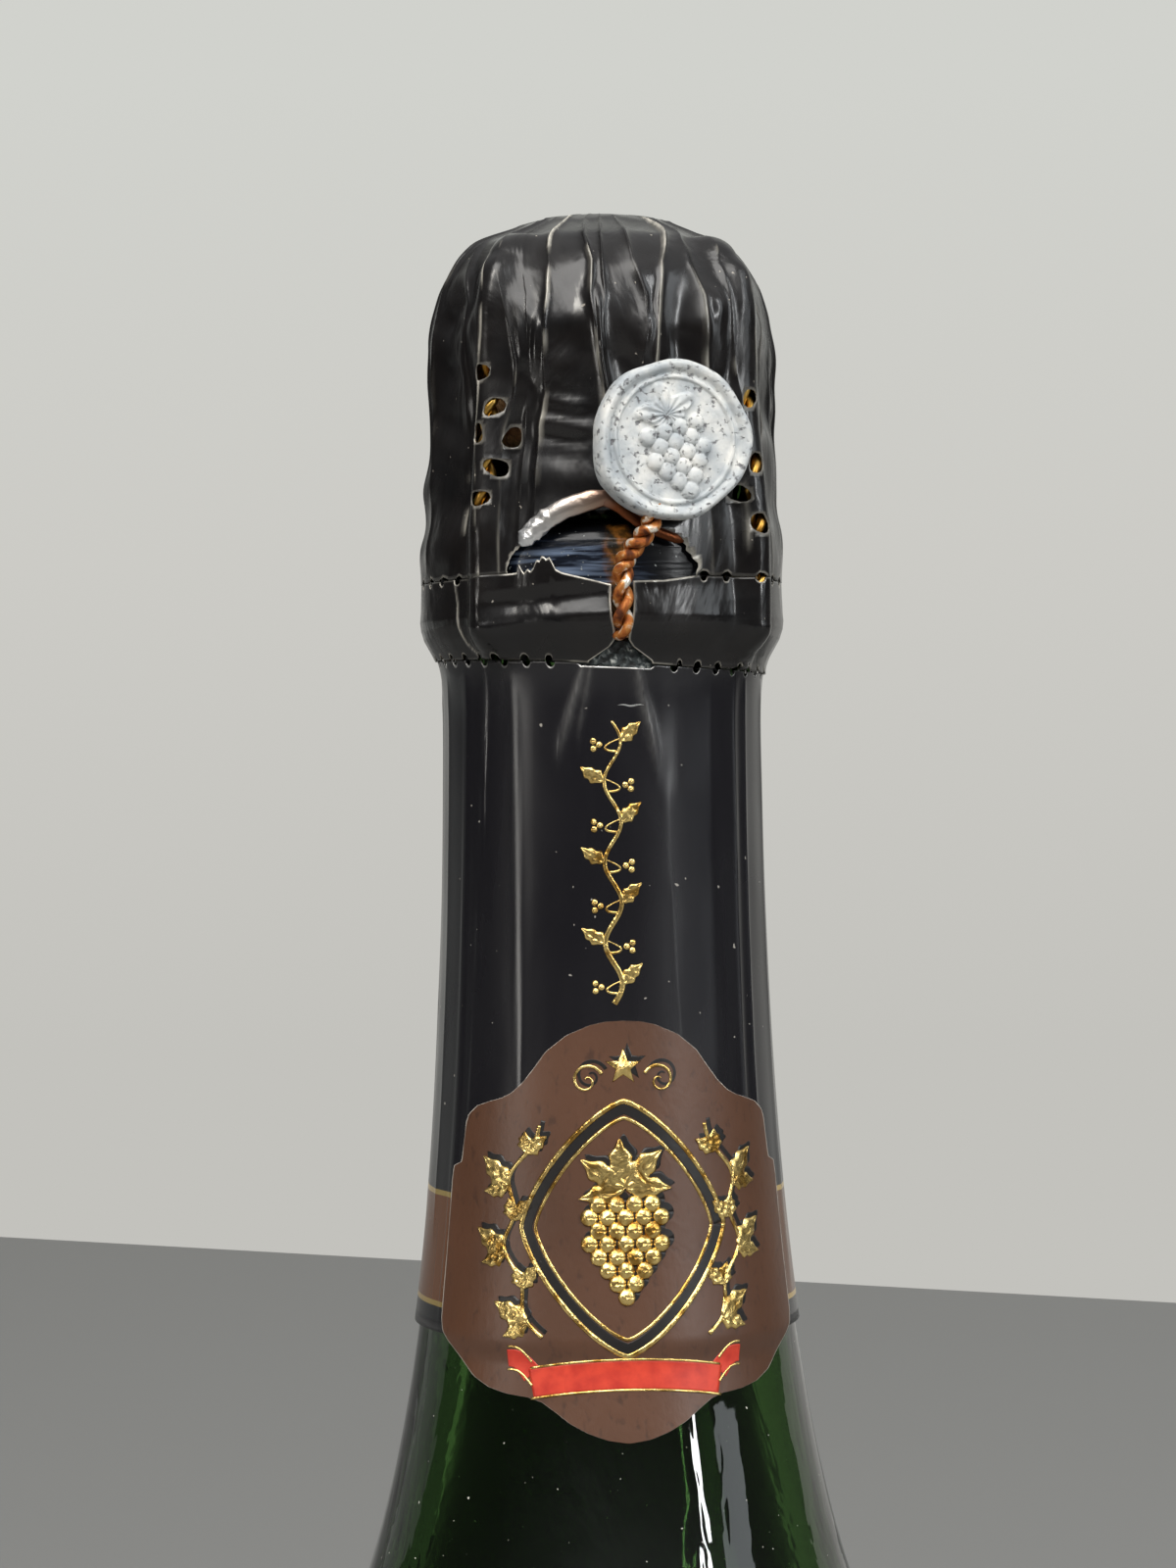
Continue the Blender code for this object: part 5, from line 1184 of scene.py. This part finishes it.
frame_lines = [strip(lozenge(9.6, 11.2), 0.50, 0.17), strip(lozenge(8.2, 9.7), 0.34, 0.14)]
frame_ink = [strip(lozenge(8.95, 10.5), 0.95, 0.012, True)]
bunch, bunch_ink = [], []
for row, count in enumerate((4, 5, 4, 5, 4, 3, 2, 1)):
    for seat in range(count):
        u, v = (seat - (count - 1) / 2) * 1.62, 2.1 - row * 1.16
        bunch.append(berry((u, v), 0.80, 0.42))
        bunch_ink.append(berry((u + 0.35, v + 0.40), 0.86, 0.012, True))
leaves = [blade((0.0, 3.6), angle, length, width, 0.30) for angle, length, width in
          ((90, 4.3, 2.5), (38, 4.6, 2.4), (142, 4.6, 2.4), (-8, 4.2, 2.1), (188, 4.2, 2.1))]
vines = []
s = np.linspace(0, 1, 120)
for sign in (1, -1):
    stem_u = sign * (10.9 + 0.55 * np.sin(s * 2 * np.pi * 3) - 3.2 * np.abs(2 * s - 1) ** 2.2)
    stem = np.stack((stem_u, -9.6 + 18.6 * s), axis=1)
    vines.append(strip(stem, 0.42, 0.16))
    for bend in range(6):
        base = stem[8 + bend * 19]
        outer = bend % 2 == 0
        angle = (32 if outer else 128) + bend * 4
        angle = angle if sign == 1 else 180 - angle
        vines.append(blade(base, angle, 3.7 if outer else 2.5, 2.2 if outer else 1.5, 0.26))
        vines.append(blade(base, angle - sign * 55, 2.8 if outer else 1.9, 1.6, 0.22))
star_middle = np.array((0, 14.2))
star_angles = np.radians(90 + np.arange(0, 360, 36))
star_reach = np.where(np.arange(10) % 2 == 0, 1.75, 0.72)
star_edge = np.stack((star_reach * np.cos(star_angles), 14.2 + star_reach * np.sin(star_angles)), axis=1)
star_edge = np.vstack((star_edge, star_edge[:1]))
shrunk = np.linspace(1, 0.02, 6)[:, None, None]
star_lift = np.broadcast_to(0.42 * (1 - shrunk[..., 0]) - 0.01, (6, 11))
star = np.dstack((star_middle + (star_edge - star_middle) * shrunk, star_lift))
scrolls = []
s = np.linspace(0.12, 1, 90)
for sign in (1, -1):
    spiral = np.stack((sign * (3.3 + 1.5 * s * np.cos(s * 9)), 13.0 + 1.5 * s * np.sin(s * 9)), axis=1)
    scrolls.append(strip(spiral, 0.34 * (0.4 + 0.6 * s), 0.14))
s = np.linspace(-1, 1, 60)
ribbon = np.stack((8.8 * s, -13.7 + 0.9 * (1 - s**2)), axis=1)
red_band = [strip(ribbon, 2.5, 0.02, True)]
ribbon_edges = [strip(ribbon + (0, 1.32), 0.26, 0.12), strip(ribbon - (0, 1.32), 0.26, 0.12)]
s = np.linspace(0, 1, 30)
for sign in (1, -1):
    end = np.stack((sign * (8.7 + 2.4 * s), -12.9 + 1.2 * s + 0.5 * np.sin(s * 3)), axis=1)
    red_band.append(strip(end, 2.0 - 0.5 * s, 0.016, True))
    ribbon_edges += [strip(end + (0, 1.05), 0.22, 0.10), strip(end - (0, 1.0), 0.22, 0.10)]
gold_grids = frame_lines + bunch + leaves + vines + [star] + scrolls + ribbon_edges
ink_grids = frame_ink + bunch_ink + shifted(leaves + vines + [star] + scrolls, 0.38, 0.42)
ink, tree, shader = new_finish("black_ink", tone(22, 19, 18), 0.4)
relief(tree, shader, grain(tree, 1500, 3.0), 0.2, 0.0001)
red_ink, tree, shader = new_finish("red_ink", tone(196, 52, 34), 0.42)
reds = ramp(tree, grain(tree, 700, 4.0), (0.35, tone(182, 44, 30)), (0.65, tone(208, 64, 42)))
fed(shader, {"Base Color": reds})
for name, grids, finish, wall in (("label_gilding", gold_grids, gold_leaf, 0.00004),
                                  ("label_ink_shadow", ink_grids, ink, 0.00001),
                                  ("label_red_ribbon", red_band, red_ink, 0.00001)):
    printed_piece = piece(name, *laid(grids, label_deg, 0.2308, label_radius), [finish, finish], "bottle")
    walled(printed_piece, wall)


# Studio. A pale table and wall, three lamps at the left, two tall ones at the right and a soft
# one overhead, and a camera level with the neck at the photograph's distance.

def plain(name, colour, roughness, corners):
    """Four-cornered stage surface of one pale colour; gives its finish's node tree."""
    finish, tree, _ = new_finish(name, colour, roughness)
    mesh = bpy.data.meshes.new(name)
    mesh.from_pydata(corners, [], [(0, 1, 2, 3)])
    mesh.materials.append(finish)
    placed(name, mesh)
    return tree


def lamp(name, azimuth_deg, distance, height, size, power, colour):
    """Rectangular area lamp that faces the bottle's neck from an azimuth, distance and height."""
    light = bpy.data.lights.new(name, "AREA")
    light.shape = "RECTANGLE"
    light.size, light.size_y = size
    light.energy = power
    light.color = colour
    thing = placed(name, light)
    thing.location = outward(azimuth_deg) * distance + up * height
    thing.rotation_euler = (np.pi / 2 + np.arctan2(0.25 - height, distance), 0, np.radians(azimuth_deg))


plain("table", tone(131, 131, 129), 0.6, [(-3, -3, 0), (3, -3, 0), (3, 0.23, 0), (-3, 2.93, 0)])
tree = plain("wall", tone(204, 204, 199), 0.9, [(-5, 3.2, -2), (5, 3.2, -2), (5, 3.2, 4), (-5, 3.2, 4)])
rays = tree.nodes.new("ShaderNodeLightPath").outputs
seen = combined(tree, "MAXIMUM", rays["Is Camera Ray"], rays["Is Glossy Ray"])
seen = combined(tree, "MAXIMUM", seen, rays["Is Transmission Ray"])
paint = ramp(tree, way_along(tree, "Z", 0.0, 1.0), (0.0, tone(195, 194, 189)), (0.5, tone(204, 203, 198)),
             (1.0, tone(209, 210, 205)))
# Painted reflection: reflections see the wall fade to dark grey towards its left end, while the camera sees
# it pale.
mirrored = mixed(tree, way_along(tree, "X", -3.0, -0.5), grey(0.06), paint)
paint = mixed(tree, rays["Is Camera Ray"], mirrored, paint)
glow = fed(tree.nodes.new("ShaderNodeEmission"), {"Color": paint}).outputs[0]
matt = tree.nodes["Principled BSDF"].outputs[0]
either = fed(tree.nodes.new("ShaderNodeMixShader"), {0: seen, 1: matt, 2: glow})
fed(tree.nodes["Material Output"], {"Surface": either.outputs[0]})
lamp("left_window", -60, 3.0, 0.29, (0.6, 0.30), 6.5, (1.0, 0.97, 0.92))
lamp("left_spot", -38, 0.75, 0.80, (0.07, 0.16), 0.8, (1.0, 0.95, 0.86))
lamp("left_door", -134, 3.0, 0.16, (2.6, 0.30), 0.55, (0.96, 1.0, 0.94))
lamp("right_gap", 50, 3.0, 1.55, (0.14, 2.2), 29, (0.97, 0.99, 1.0))
lamp("right_window", 70, 3.0, 1.55, (0.9, 2.2), 14, (0.90, 0.96, 1.0))
lamp("ceiling_lamp", -15, 1.6, 2.0, (2.4, 1.5), 60, (1.0, 0.98, 0.95))

world = bpy.data.worlds.new("room")
bpy.context.scene.world = world
world.use_nodes = True
tree = world.node_tree
room = ramp(tree, way_along(tree, "Z", 0.0, 1.0, space="Generated"), (0.0, 0.08), (0.15, 0.11),
            (0.5, (0.50, 0.51, 0.52, 1)), (1.0, 0.85))
room = mixed(tree, way_along(tree, "X", -0.9, -0.1, 0.3, "Generated"), grey(0.03), room)
rays = tree.nodes.new("ShaderNodeLightPath").outputs
seen = combined(tree, "MAXIMUM", rays["Is Camera Ray"], rays["Is Transmission Ray"])
fed(tree.nodes["Background"], {"Color": mixed(tree, seen, room, tone(200, 199, 194))})
bpy.context.scene.view_settings.view_transform = "Standard"

camera = bpy.data.cameras.new("camera")
camera.lens = 78.5
camera.sensor_width = 36
camera.clip_start = 0.01
view = placed("camera", camera)
view.location = (-0.0014, -0.320, 0.2702)
view.rotation_euler = (np.pi / 2, np.radians(0.45), 0)
bpy.context.scene.camera = view
